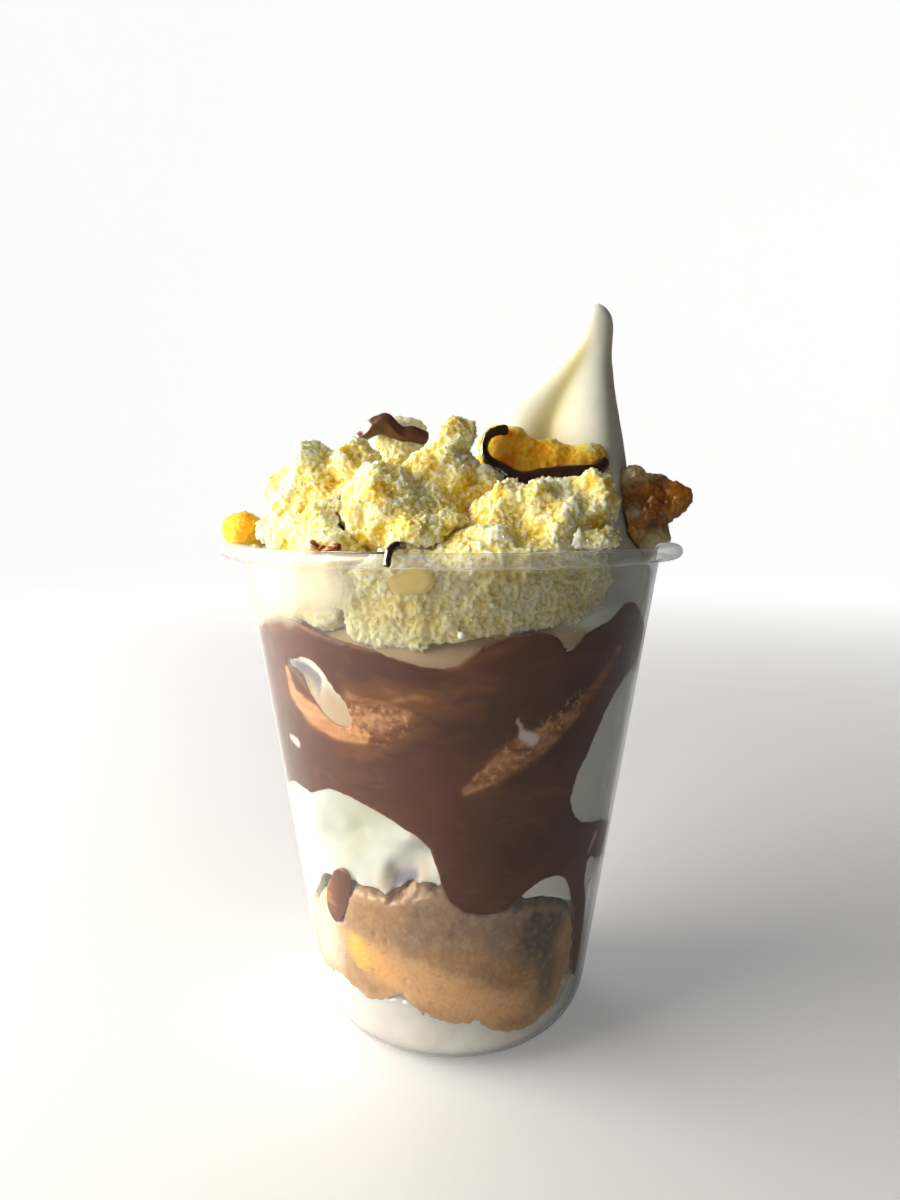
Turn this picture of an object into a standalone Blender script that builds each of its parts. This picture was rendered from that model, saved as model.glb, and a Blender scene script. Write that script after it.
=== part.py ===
"""An ice cream sundae in its clear plastic cup: a milky pool and a soaked piece of cake at the foot,
soft serve ice cream that fills the cup and ends in a drawn-out peak, chocolate sauce on the wall,
and a crown of torn sponge cake on top.

Metres, +Z up. The origin is the centre of the cup's flat foot, and the front is towards -Y.
Angles round the cup are in degrees, 0 at the front and growing towards +X.
"""

import math

import bmesh
import bpy
from mathutils import Vector, noise

MM = 0.001
GAP = 0.3 * MM  # the air left between two pieces that touch
CUT_GAP = 0.5 * MM  # cut wider than the gap, because thinning a cut piece out moves its skin a little

# The cup
CUP_HEIGHT = 103 * MM
RIM_RADIUS = 47.5 * MM
RIM_THICKNESS = 2.7 * MM
WALL_TOP_RADIUS = 43 * MM
WALL_FOOT_RADIUS = 27.5 * MM  # where the wall's line would meet the foot's plane
WALL_THICKNESS = 0.8 * MM
FOOT_CORNER_RADIUS = 12 * MM
CUP_SIDES = 40
CORNER_STEPS = 3

# What fills the cup
POOL_TOP = 16 * MM
SAUCE_THICKNESS = 1.5 * MM
SAUCE_COLUMNS = 40  # upright strips that bend the sauce round the wall
BEHIND_SAUCE = SAUCE_THICKNESS + 2.2 * GAP  # how far inside the wall the ice cream's skin lies
SERVE_SIDES = 40
PEAK_RIDGES = 5
PEAK_TIP = Vector((30.9, 5.0, 153.0)) * MM

# Torn cake
CRUMB_VOXEL = 1.0 * MM
CLUMP = 7 * MM  # the size of the lumps in a torn face
CLUMP_DEPTH = 2.8 * MM

SERVE_WHITE = (0.87, 0.86, 0.79)
SPONGE_YELLOW = (0.86, 0.76, 0.42)
CHOCOLATE_BROWN = (0.10, 0.045, 0.03)


def clear_scene():
    for old in list(bpy.data.objects):
        bpy.data.objects.remove(old, do_unlink=True)


def material(name, colour, roughness, alpha=1.0):
    made = bpy.data.materials.get(name) or bpy.data.materials.new(name)
    made.use_nodes = True
    shader = made.node_tree.nodes["Principled BSDF"]
    shader.inputs["Base Color"].default_value = (*colour, 1.0)
    shader.inputs["Roughness"].default_value = roughness
    shader.inputs["Metallic"].default_value = 0.0
    shader.inputs["Alpha"].default_value = alpha
    return made


def object_from(bm, name, finish):
    """A new object that holds the bmesh, with its faces turned out and shaded smooth."""
    bmesh.ops.recalc_face_normals(bm, faces=bm.faces)
    mesh = bpy.data.meshes.new(name)
    bm.to_mesh(mesh)
    bm.free()
    mesh.shade_smooth()
    made = bpy.data.objects.new(name, mesh)
    mesh.materials.append(finish)
    bpy.context.scene.collection.objects.link(made)
    return made


def apply_modifiers(obj):
    """Replaces the object's mesh by what its modifiers make of it."""
    graph = bpy.context.evaluated_depsgraph_get()
    shaped = bpy.data.meshes.new_from_object(obj.evaluated_get(graph))
    obj.modifiers.clear()
    obj.data = shaped


def keep_largest_body(obj):
    """Deletes every loose scrap that a cut has left beside the main body."""
    bm = bmesh.new()
    bm.from_mesh(obj.data)
    unseen = set(bm.verts)
    bodies = []
    while unseen:
        reached = [unseen.pop()]
        for vert in reached:
            for edge in vert.link_edges:
                other = edge.other_vert(vert)
                if other in unseen:
                    unseen.remove(other)
                    reached.append(other)
        bodies.append(reached)
    bodies.sort(key=len)
    scraps = [vert for body in bodies[:-1] for vert in body]
    bmesh.ops.delete(bm, geom=scraps, context="VERTS")
    bm.to_mesh(obj.data)
    bm.free()


def cut(obj, cutter, operation="DIFFERENCE", solver="EXACT"):
    """Cuts the object with the cutter, applies the cut and drops loose scraps."""
    modifier = obj.modifiers.new("cut", "BOOLEAN")
    modifier.operation = operation
    modifier.solver = solver
    modifier.object = cutter
    apply_modifiers(obj)
    keep_largest_body(obj)


def make_room(obj, *neighbours):
    """Cuts from the object the space of its neighbours, each grown by the cut gap. A grown crag
    can fold over itself, which the exact solver can't cut with, so this takes the manifold one."""
    for neighbour in neighbours:
        grown = neighbour.copy()
        grown.data = neighbour.data.copy()
        bpy.context.scene.collection.objects.link(grown)
        swell = grown.modifiers.new("gap", "DISPLACE")
        swell.strength = CUT_GAP
        swell.mid_level = 0.0
        apply_modifiers(grown)
        cut(obj, grown, solver="MANIFOLD")
        bpy.data.objects.remove(grown, do_unlink=True)


# --- the cup ---------------------------------------------------------------------------------

WALL_LEAN = math.atan2(WALL_TOP_RADIUS - WALL_FOOT_RADIUS, CUP_HEIGHT - RIM_THICKNESS)
CORNER_CENTRE = WALL_FOOT_RADIUS - FOOT_CORNER_RADIUS * (1 - math.sin(WALL_LEAN)) / math.cos(WALL_LEAN)
CORNER_TOP = FOOT_CORNER_RADIUS * (1 - math.sin(WALL_LEAN))


def inside_radius(z, inset=0.0):
    """The radius of the cup's inner wall at height z, less an inset square to the wall."""
    depth = WALL_THICKNESS + inset
    if z < CORNER_TOP:
        reach = FOOT_CORNER_RADIUS - depth
        drop = min(reach, FOOT_CORNER_RADIUS - z)
        return CORNER_CENTRE + math.sqrt(reach * reach - drop * drop)
    return WALL_FOOT_RADIUS + z * math.tan(WALL_LEAN) - depth / math.cos(WALL_LEAN)


def round_the_cup(angle, radius, z):
    turn = math.radians(angle)
    return Vector((radius * math.sin(turn), -radius * math.cos(turn), z))


def corner_arc(depth, steps):
    """Points of the rounded foot corner, depth under the outer skin, from the foot to the wall."""
    radius = FOOT_CORNER_RADIUS - depth
    sweep = math.pi / 2 - WALL_LEAN
    for step in range(steps + 1):
        turn = -math.pi / 2 + sweep * step / steps
        yield CORNER_CENTRE + radius * math.cos(turn), FOOT_CORNER_RADIUS + radius * math.sin(turn)


def turned(name, profile, finish, sides=CUP_SIDES):
    """A closed solid from a profile of (radius, z) points that starts and ends on the axis."""
    bm = bmesh.new()
    rings = []
    for radius, z in profile:
        if radius < 1e-6:
            rings.append([bm.verts.new((0, 0, z))])
            continue
        ring = [bm.verts.new(round_the_cup(360 * k / sides, radius, z)) for k in range(sides)]
        rings.append(ring)
    for low, high in zip(rings, rings[1:]):
        join_rings(bm, low, high)
    return object_from(bm, name, finish)


def join_rings(bm, low, high):
    count = max(len(low), len(high))
    for k in range(count):
        after = (k + 1) % count
        corners = [low[k % len(low)], low[after % len(low)], high[after % len(high)], high[k % len(high)]]
        bm.faces.new(list(dict.fromkeys(corners)))


def cup():
    """A thermoformed cup: thin leaning wall, large round foot corner and a rolled rim."""
    rim_half = RIM_THICKNESS / 2
    rim_middle = CUP_HEIGHT - rim_half
    rim_bend = RIM_RADIUS - rim_half
    inner_top = inside_radius(CUP_HEIGHT)
    outer = [(0.0, 0.0), *corner_arc(0.0, CORNER_STEPS)]
    outer.append((WALL_TOP_RADIUS, CUP_HEIGHT - RIM_THICKNESS))
    rim = []
    for step in range(5):
        turn = -math.pi / 2 + math.pi * step / 4
        rim.append((rim_bend + rim_half * math.cos(turn), rim_middle + rim_half * math.sin(turn)))
    rim.append((inner_top + WALL_THICKNESS / 2, CUP_HEIGHT))
    inner = [(inner_top, CUP_HEIGHT - WALL_THICKNESS / 2)]
    inner += [*reversed(list(corner_arc(WALL_THICKNESS, CORNER_STEPS))), (0.0, WALL_THICKNESS)]
    clear = material("clear polypropylene", (0.86, 0.88, 0.88), 0.15, alpha=0.25)
    return turned("cup", outer + rim + inner, clear)


def free_room():
    """A cutter: all the space that food may take, inside the cup and above its rim, a gap off both."""
    reach = WALL_THICKNESS + GAP
    sill = CUP_HEIGHT + GAP
    profile = [(0.0, reach), *corner_arc(reach, CORNER_STEPS), (inside_radius(sill, GAP), sill)]
    profile += [(2 * RIM_RADIUS, sill), (2 * RIM_RADIUS, 2 * CUP_HEIGHT), (0.0, 2 * CUP_HEIGHT)]
    made = turned("free room", profile, material("cutter", (1, 0, 0), 1.0))
    made.hide_render = True
    made.display_type = "WIRE"
    return made


# --- chocolate sauce on the wall -------------------------------------------------------------

# Each outline is a list of (angle round the cup, height in mm) that a smooth curve runs through.
SAUCE_EDGE = [
    (-177, 85), (-170, 91), (-157, 88), (-140, 91), (-122, 87), (-104, 89), (-90, 87), (-75, 86), (-60, 90),
    (-45, 90), (-35, 88), (-20, 86), (-6, 83.3), (1, 83.7), (7, 87), (20, 89), (27, 88), (31, 84.5),
    (35, 88), (44, 90), (50, 92.5), (56, 92.8), (66, 89), (80, 86), (95, 87), (112, 90), (130, 86),
    (150, 89), (165, 92), (175, 89), (178, 81), (169, 72), (170, 60), (177, 50), (171, 43),
    (158, 47), (138, 55), (124, 46), (112, 38),
    (98, 33), (82, 35.5), (70, 38), (60, 40), (53, 41), (57, 32), (61, 22), (62, 15), (59, 14),
    (54, 20), (50, 29), (46, 34), (41, 39.5), (32, 41), (24, 39), (17, 35.8), (8, 35.8), (2, 37),
    (-3, 41), (-7, 49), (-14, 52.5), (-25, 56), (-40, 58), (-50, 55.6), (-62, 56), (-75, 53),
    (-90, 51), (-106, 54), (-122, 48), (-138, 50), (-154, 56), (-166, 49),
    (-174, 45), (-178, 56), (-172, 70),
]
RIGHT_WINDOW = [
    (38, 57), (44, 65.5), (50, 73), (57, 77), (66, 79), (75, 77.5), (90, 72), (101, 65), (106, 56),
    (101, 47), (90, 42.5), (75, 45), (60, 48.5), (46, 50.5), (41, 53),
]
LEFT_WINDOW = [(-52, 81.5), (-46, 83), (-39, 82.5), (-34, 79), (-28, 72), (-33, 71.3), (-41, 75.5), (-48, 80)]
BLOB_EDGE = [(-51, 32), (-46, 38.5), (-40, 42), (-36, 40), (-38, 35), (-42, 31), (-47, 29)]


def outline_prism(name, edge, holes):
    """A flat slab with smooth sides, as wide as the wall unrolled: x is the way round, y is up."""
    curve = bpy.data.curves.new(name, "CURVE")
    curve.dimensions = "2D"
    curve.fill_mode = "BOTH"
    curve.extrude = 2 * SAUCE_THICKNESS
    curve.resolution_u = 2
    for outline in (edge, *holes):
        spline = curve.splines.new("BEZIER")
        spline.bezier_points.add(len(outline) - 1)
        spline.use_cyclic_u = True
        for point, (angle, height) in zip(spline.bezier_points, outline):
            point.co = (math.radians(angle) * WALL_TOP_RADIUS, height * MM, 0)
            point.handle_left_type = point.handle_right_type = "AUTO"
    flat = bpy.data.objects.new(name, curve)
    bpy.context.scene.collection.objects.link(flat)
    graph = bpy.context.evaluated_depsgraph_get()
    bm = bmesh.new()
    bm.from_mesh(bpy.data.meshes.new_from_object(flat.evaluated_get(graph)))
    bpy.data.objects.remove(flat, do_unlink=True)
    bmesh.ops.remove_doubles(bm, verts=bm.verts, dist=0.01 * MM)
    return object_from(bm, name, material("cutter", (1, 0, 0), 1.0))


def wall_film(name, edge, holes, finish):
    """A sheet cut flat to the outline, then bent round the inside of the cup's wall."""
    width = 2 * math.pi * WALL_TOP_RADIUS
    bm = bmesh.new()
    bmesh.ops.create_grid(bm, x_segments=SAUCE_COLUMNS, y_segments=1, size=0.5)
    bmesh.ops.scale(bm, verts=bm.verts, vec=Vector((width, CUP_HEIGHT, 1)))
    bmesh.ops.translate(bm, verts=bm.verts, vec=Vector((0, CUP_HEIGHT / 2, -SAUCE_THICKNESS / 2)))
    raised = bmesh.ops.extrude_face_region(bm, geom=bm.faces[:])["geom"]
    corners = [part for part in raised if isinstance(part, bmesh.types.BMVert)]
    bmesh.ops.translate(bm, verts=corners, vec=Vector((0, 0, SAUCE_THICKNESS)))
    film = object_from(bm, name, finish)
    prism = outline_prism(name + " outline", edge, holes)
    cut(film, prism, "INTERSECT")
    bpy.data.objects.remove(prism, do_unlink=True)
    bm = bmesh.new()
    bm.from_mesh(film.data)
    for vert in bm.verts:
        angle = math.degrees(vert.co.x / WALL_TOP_RADIUS)
        inset = GAP + SAUCE_THICKNESS / 2 - vert.co.z
        vert.co = round_the_cup(angle, inside_radius(vert.co.y, inset), vert.co.y)
    bmesh.ops.triangulate(bm, faces=bm.faces)
    bm.to_mesh(film.data)
    bm.free()
    return film


# --- torn cake -------------------------------------------------------------------------------


def lump(name, lobes, faces, finish, depth=CLUMP_DEPTH, clump=CLUMP, voxel=CRUMB_VOXEL):
    """A torn piece: ellipsoid lobes, each (x, y, z, half width, half depth, half height) in mm,
    grown into one body, roughened in clumps and brought down to about the given number of faces."""
    bm = bmesh.new()
    for x, y, z, half_width, half_depth, half_height in lobes:
        ball = bmesh.ops.create_icosphere(bm, subdivisions=3, radius=1.0)["verts"]
        bmesh.ops.scale(bm, verts=ball, vec=Vector((half_width, half_depth, half_height)) * MM)
        bmesh.ops.translate(bm, verts=ball, vec=Vector((x, y, z)) * MM)
    made = object_from(bm, name, finish)
    remesh(made, voxel)
    roughen(made, depth, clump)
    remesh(made, voxel)
    keep_largest_body(made)
    thin_out(made, faces)
    made.data.shade_smooth()
    return made


def thin_out(obj, faces):
    """Brings the object down to about the given number of triangles."""
    obj.data.calc_loop_triangles()
    modifier = obj.modifiers.new("thin out", "DECIMATE")
    modifier.ratio = min(1.0, faces / len(obj.data.loop_triangles))
    modifier.use_collapse_triangulate = True
    apply_modifiers(obj)


def remesh(obj, voxel):
    modifier = obj.modifiers.new("remesh", "REMESH")
    modifier.mode = "VOXEL"
    modifier.voxel_size = voxel
    apply_modifiers(obj)


def roughen(obj, depth, clump):
    """Moves each point along its normal by layered noise whose broadest lumps are a clump wide."""
    mesh = obj.data
    moved = [
        vert.co + vert.normal * depth * noise.fractal(vert.co / clump, 0.7, 2.1, 3)
        for vert in mesh.vertices
    ]
    for vert, place in zip(mesh.vertices, moved):
        vert.co = place
    mesh.update()


# --- soft serve ------------------------------------------------------------------------------

# The levels above the cup, from its mouth to the tip: height, centre x, centre y, radius, depth of
# the star ridges as a share of the radius, and how much lower the front lies. All in mm but the share.
CROWN_LEVELS = [
    (97.0, 1.0, 1.0, 40.5, 0.0, 12.0),
    (101.0, 4.0, 3.5, 36.0, 0.0, 11.0),
    (105.0, 9.0, 5.0, 29.0, 0.02, 8.0),
    (110.0, 16.5, 6.0, 21.5, 0.04, 3.0),
    (115.0, 21.5, 5.8, 16.9, 0.07, 0.0),
    (121.2, 23.2, 5.3, 14.2, 0.11, 0.0),
    (127.5, 23.6, 5.0, 12.7, 0.14, 0.0),
    (131.1, 24.3, 5.0, 11.2, 0.16, 0.0),
    (134.8, 25.8, 5.0, 9.2, 0.16, 0.0),
    (139.0, 27.6, 5.0, 6.9, 0.16, 0.0),
    (143.2, 29.2, 5.0, 4.9, 0.15, 0.0),
    (147.1, 30.2, 5.0, 3.65, 0.12, 0.0),
    (150.6, 30.8, 5.0, 2.7, 0.07, 0.0),
    (152.4, 30.9, 5.0, 1.5, 0.0, 0.0),
]
DROP_ENDS_RIGHT = 1.9  # how much sooner the front's drop ends on the right than on the left
PEAK_FOOT = 121.2
RIDGE_START = -3.0  # degrees: where the front ridge lies at the foot of the peak
RIDGE_TWIST = 0.62  # degrees that the ridges turn for each millimetre of height


# Hollows where the ice cream stands off the wall: depth in mm, then the middle's angle and height,
# the reach round the cup in degrees and up it in mm, and the degrees it leans for each mm of height.
HOLLOWS = [
    (5.0, -30, 46, 16, 5, 0.0),
    (2.6, -12, 48, 6, 7, 2.3),
    (2.5, 48, 28, 14, 9, 0.0),
]
BACK_FOLD = 1.8  # mm: the depth of the soft folds that run round the back
BACK_FROM = 110  # degrees from the front


def fold_depth(angle, z):
    """How far the ice cream stands off the wall at this place, in metres."""
    height = z / MM
    total = 0.0
    for depth, middle, level, reach, rise, lean in HOLLOWS:
        across = (angle - middle - lean * (height - level)) / reach
        total += depth * math.exp(-(across**2) - ((height - level) / rise) ** 2)
    if abs(angle) > BACK_FROM:
        total += BACK_FOLD * max(0.0, math.sin(math.radians(3 * angle) + height / 9))
    return total * MM


def star(angle, height):
    """Between -1 and 1: how far out the peak's ridges stand at this angle and height in mm."""
    turned_by = RIDGE_START + RIDGE_TWIST * (height - PEAK_FOOT)
    return math.cos(math.radians(PEAK_RIDGES * (angle - turned_by)))


def soft_serve():
    """Ice cream in one piece: it takes the cup's shape, heaps over its mouth and ends in a peak."""
    bm = bmesh.new()
    rings = []
    for z in (POOL_TOP + GAP, 27 * MM, 36 * MM, 42 * MM, 47 * MM, 53 * MM, 62 * MM, 84 * MM):
        ring = []
        for k in range(SERVE_SIDES):
            angle = (360 * k / SERVE_SIDES + 180) % 360 - 180
            radius = inside_radius(z, BEHIND_SAUCE) - fold_depth(angle, z)
            ring.append(bm.verts.new(round_the_cup(angle, radius, z)))
        rings.append(ring)
    for height, x, y, radius, ridge, front_drop in CROWN_LEVELS:
        ring = []
        for k in range(SERVE_SIDES):
            angle = (360 * k / SERVE_SIDES + 180) % 360 - 180
            hastened = angle * (DROP_ENDS_RIGHT if angle > 0 else 1.0)
            forward = max(0.0, math.cos(math.radians(hastened)))
            out = radius * (1 + ridge * star(angle, height))
            place = round_the_cup(angle, out, height - front_drop * forward)
            place = (place + Vector((x, y, 0))) * MM
            room = inside_radius(place.z, BEHIND_SAUCE)
            if place.z < CUP_HEIGHT and place.xy.length > room:
                place.xy *= room / place.xy.length
            ring.append(bm.verts.new(place))
        rings.append(ring)
    rings.insert(0, [bm.verts.new((0, 0, POOL_TOP + GAP))])
    rings.append([bm.verts.new(PEAK_TIP)])
    for low, high in zip(rings, rings[1:]):
        join_rings(bm, low, high)
    bmesh.ops.triangulate(bm, faces=bm.faces)
    return object_from(bm, "soft_serve", material("soft serve ice cream", SERVE_WHITE, 0.45))


def melted_ice_cream():
    """The milky pool at the foot of the cup, up to its level."""
    reach = WALL_THICKNESS + GAP
    profile = [(0.0, reach), *corner_arc(reach, CORNER_STEPS)]
    profile += [(inside_radius(POOL_TOP, GAP), POOL_TOP - 2 * GAP), (0.0, POOL_TOP - GAP)]
    return turned("melted_ice_cream", profile, material("melted ice cream", (0.80, 0.78, 0.72), 0.25))


# --- the crown -------------------------------------------------------------------------------

# Every piece of the crown as its lobes in mm: (x, y, z, half width, half depth, half height).
SPONGE_PIECES = {
    "sponge_front": (410, [
        (18, -27, 107, 10, 9, 8.5), (8, -34, 96, 16, 11, 11), (-8, -36, 94, 12, 9, 9),
        (24.5, -26, 111, 5, 7, 5.5), (11, -26, 107, 9, 9, 7), (21, -32, 95, 9, 8, 8),
    ]),
    "sponge_middle": (350, [
        (0, -20, 124.4, 3.4, 4, 4.8), (-2, -21, 116, 6.5, 7, 8), (-12, -25, 109, 8, 8, 8),
        (-4, -27, 105, 9, 9, 6), (3.5, -19.5, 113, 5, 6.5, 6),
    ]),
    "sponge_left": (390, [
        (-19, -15, 116, 6, 7, 7.5), (-26.5, -15, 114, 5.5, 8, 9), (-32, -14, 111.5, 5, 7, 5),
        (-22, -20, 105, 10, 10, 8), (-29, -16, 101, 8, 11, 9), (-22, -27, 97, 9, 9, 9),
    ]),
    "sponge_back_left": (300, [
        (-13, 9, 121, 6, 6, 8), (-8, 14, 114, 9, 9, 11), (-18, 9, 112, 9, 9, 10),
        (-26, 19, 105, 11, 12, 9), (-13, 25, 104, 10, 11, 8), (-19, 29, 101, 8, 8, 6),
    ]),
    "sponge_far_left": (180, [(-35, 1, 102, 7, 8, 5.5), (-34, 8, 101, 8, 8, 6.5), (-27, 0, 104, 7, 7, 6)]),
    "sponge_centre": (210, [
        (-3, -4, 111, 9, 7, 8), (5, 3, 108, 8, 7, 7), (-9, -8, 108, 8, 8, 8), (-8, -1, 114, 5, 5, 5),
    ]),
    "sponge_back": (260, [
        (7, 31, 105, 12, 9, 8), (-3, 33, 103, 10, 9, 7), (17, 31, 103, 9, 9, 7), (6, 24, 113, 7, 7, 6),
    ]),
    "sponge_back_right": (220, [
        (31, 20, 107, 7, 8, 8), (29, 28, 103, 8, 8, 6), (36, 14, 104, 5, 8, 6), (30, 22, 112, 4, 5, 4),
    ]),
    "small_crumb_right": (120, [(22.5, -34.5, 104.3, 3.6, 3.4, 2.0), (26.5, -32.5, 105, 2.6, 3.2, 2.2)]),
    "white_crumb_left": (110, [(-37, -6, 107, 2.8, 4, 3.6), (-36, -10, 105, 3.2, 4, 2.8)]),
}
CRUST_LOBES = [
    (38.0, -4, 115.3, 4.6, 6, 4.2), (43.2, -4, 116.8, 1.8, 2.4, 2.0), (45.5, -4, 112.0, 3.8, 5, 3.5),
    (39.6, -3, 110.5, 6.0, 7.5, 5.6), (38.0, -3, 104.5, 4.8, 7.5, 5.6), (42.3, -4, 104.0, 3.0, 6, 3.0),
]
GOLDEN_LOBES = [
    (11.8, -10.5, 121.6, 4.0, 3.8, 4.2), (18, -11, 119.6, 6, 3.8, 3.7), (25.5, -11, 118.9, 4.8, 3.8, 3.3),
    (18, -12, 116, 8, 4, 3),
]
ORANGE_LOBES = [(-43, -4, 106, 4.2, 5, 3.0), (-45, -4, 105.3, 2.6, 4, 2.0)]
PALE_LOBES = [(17, -20, 14.5, 5, 5, 4.2), (20, -17, 14, 4, 5, 3.6)]
BOTTOM_CAKE_LOBES = [
    (-14, -20, 28, 13, 16, 12), (0, -23, 29, 15, 14, 15.5), (12, -22, 24.5, 12, 13, 13),
    (-24, -13, 22.5, 9, 9, 6), (4, -10, 28, 13, 12, 11),
]
# How many triangles each of these is brought down to, before and after its neighbours are cut from it.
CRUST_FACES = (360, 330)
GOLDEN_FACES = (260, 240)
BOTTOM_CAKE_FACES = (600, 470)
PALE_FACES = 140
ORANGE_FACES = 120
FINE_DEPTH = 1.2 * MM  # how rough the smaller, firmer pieces are
CRUST_DEPTH = 1.6 * MM

# Thick sauce on the crown, each rope as its route of (x, y, z, radius) in mm.
RIBBONS = {
    "chocolate_ribbon_right": [
        (10.5, -13.5, 125.3, 1.1), (7.6, -15, 124.8, 1.3), (6.2, -15.8, 122.4, 1.3),
        (6.8, -16.8, 119.4, 1.5), (9.6, -17.6, 117.0, 1.8), (13.2, -18.2, 115.2, 2.1),
        (17.5, -18, 116.0, 1.9), (22, -17.5, 116.8, 1.7), (27, -16.5, 117.2, 1.4),
        (29.6, -14.5, 119.2, 1.1),
    ],
    "chocolate_ribbon_left": [
        (-20, 2, 125.3, 1.3), (-17.4, 2.5, 127.3, 1.9), (-15.2, 3, 127.8, 2.2),
        (-12.6, 3, 126.8, 2.1), (-9.4, 3.5, 126.2, 2.1), (-5.6, 5, 125.4, 1.5),
    ],
    "chocolate_drip": [
        (-7.8, -43.2, 104.0, 0.75), (-9.0, -45.2, 104.2, 0.8), (-10.1, -46.9, 103.3, 0.75),
        (-10.4, -47.6, 100.9, 0.65),
    ],
}


def ribbon(name, route, finish):
    """Thick sauce that lies along a route of (x, y, z, radius) in mm, as one rounded rope."""
    curve = bpy.data.curves.new(name, "CURVE")
    curve.dimensions = "3D"
    curve.bevel_depth = MM
    curve.bevel_resolution = 1
    curve.use_fill_caps = True
    curve.resolution_u = 2
    spline = curve.splines.new("BEZIER")
    spline.bezier_points.add(len(route) - 1)
    for point, (x, y, z, radius) in zip(spline.bezier_points, route):
        point.co = Vector((x, y, z)) * MM
        point.radius = radius
        point.handle_left_type = point.handle_right_type = "AUTO"
    rope = bpy.data.objects.new(name, curve)
    bpy.context.scene.collection.objects.link(rope)
    graph = bpy.context.evaluated_depsgraph_get()
    bm = bmesh.new()
    bm.from_mesh(bpy.data.meshes.new_from_object(rope.evaluated_get(graph)))
    bpy.data.objects.remove(rope, do_unlink=True)
    bmesh.ops.remove_doubles(bm, verts=bm.verts, dist=0.01 * MM)
    bmesh.ops.triangulate(bm, faces=bm.faces)
    return object_from(bm, name, finish)


def main():
    clear_scene()
    chocolate = material("chocolate sauce", CHOCOLATE_BROWN, 0.2)
    sponge = material("sponge cake", SPONGE_YELLOW, 0.9)
    soaked = material("soaked cake", (0.52, 0.33, 0.16), 0.6)
    caramel = material("caramel crust", (0.36, 0.16, 0.04), 0.5)
    golden = material("golden sponge", (0.80, 0.42, 0.06), 0.8)
    orange = material("orange crumb", (0.78, 0.38, 0.05), 0.8)

    # What is inside the cup, each piece cut to leave room for those before it.
    cup()
    room = free_room()
    sauce = wall_film("chocolate_sauce", SAUCE_EDGE, (RIGHT_WINDOW, LEFT_WINDOW), chocolate)
    blob = wall_film("chocolate_blob", BLOB_EDGE, (), chocolate)
    whole, trimmed = BOTTOM_CAKE_FACES
    bottom_cake = lump("bottom_cake", BOTTOM_CAKE_LOBES, whole, soaked, CRUST_DEPTH)
    cut(bottom_cake, room, "INTERSECT")
    make_room(bottom_cake, sauce, blob)
    thin_out(bottom_cake, trimmed)
    pale_piece = lump("pale_cake_piece", PALE_LOBES, PALE_FACES, sponge)
    cut(pale_piece, room, "INTERSECT")
    make_room(pale_piece, bottom_cake, sauce)
    pool = melted_ice_cream()
    make_room(pool, bottom_cake, pale_piece, sauce)
    serve = soft_serve()
    make_room(serve, bottom_cake, pale_piece)

    # The crown, in the same way.
    whole, crust_faces = CRUST_FACES
    crown = [(lump("brown_crust", CRUST_LOBES, whole, caramel, CRUST_DEPTH), crust_faces)]
    whole, golden_faces = GOLDEN_FACES
    crown.append((lump("golden_sponge", GOLDEN_LOBES, whole, golden, FINE_DEPTH), golden_faces))
    for name, (faces, lobes) in SPONGE_PIECES.items():
        crown.append((lump(name, lobes, faces, sponge), faces))
    crown.append((lump("orange_crumb", ORANGE_LOBES, ORANGE_FACES, orange, FINE_DEPTH), ORANGE_FACES))
    placed = [serve, sauce]
    for piece, faces in crown:
        cut(piece, room, "INTERSECT")
        make_room(piece, *placed)
        thin_out(piece, faces)
        placed.append(piece)
    for name, route in RIBBONS.items():
        piece = ribbon(name, route, chocolate)
        make_room(piece, *placed)
        placed.append(piece)
    bpy.data.objects.remove(room, do_unlink=True)


main()
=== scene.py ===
"""The looks of an ice cream sundae in its clear plastic cup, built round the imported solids.

Metres, +Z up, with the front towards -Y. A place on the cup's wall is given as degrees round the cup, 0 at
the front and growing towards +X, and millimetres above the table.
"""

import math

import bpy
import numpy as np
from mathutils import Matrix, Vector


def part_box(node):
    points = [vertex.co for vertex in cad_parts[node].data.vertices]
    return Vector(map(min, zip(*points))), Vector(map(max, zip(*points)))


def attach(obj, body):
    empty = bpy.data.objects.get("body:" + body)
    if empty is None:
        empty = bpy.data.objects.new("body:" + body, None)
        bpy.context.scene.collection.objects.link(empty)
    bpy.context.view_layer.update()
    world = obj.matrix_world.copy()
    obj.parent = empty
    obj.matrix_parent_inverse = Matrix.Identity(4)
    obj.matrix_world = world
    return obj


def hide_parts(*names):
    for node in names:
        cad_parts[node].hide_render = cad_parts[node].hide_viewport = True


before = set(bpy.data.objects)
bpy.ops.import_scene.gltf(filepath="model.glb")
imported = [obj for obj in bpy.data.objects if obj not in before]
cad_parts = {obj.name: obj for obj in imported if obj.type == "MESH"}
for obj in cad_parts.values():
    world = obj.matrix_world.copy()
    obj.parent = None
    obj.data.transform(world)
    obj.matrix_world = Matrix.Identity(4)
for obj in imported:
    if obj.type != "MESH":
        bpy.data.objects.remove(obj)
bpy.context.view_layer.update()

MM = 0.001


# --- Cup -----------------------------------------------------------------------------------------------
# A take-away cup, vacuum formed from clear polypropylene sheet: a thin leaning wall, a large round foot
# corner and a rolled rim. Polypropylene is faintly milky, and milkiest where the rim is thick.

CUP_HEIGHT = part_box("cup")[1].z
RIM_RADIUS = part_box("cup")[1].x
RIM_THICKNESS = 2.7 * MM
WALL_THICKNESS = 0.8 * MM
WALL_TOP_RADIUS = 43 * MM
WALL_FOOT_RADIUS = 27.5 * MM
FOOT_CORNER_RADIUS = 12 * MM
WALL_LEAN = math.atan2(WALL_TOP_RADIUS - WALL_FOOT_RADIUS, CUP_HEIGHT - RIM_THICKNESS)
CORNER_CENTRE = WALL_FOOT_RADIUS - FOOT_CORNER_RADIUS * (1 - math.sin(WALL_LEAN)) / math.cos(WALL_LEAN)
CUP_SIDES = 160


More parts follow.
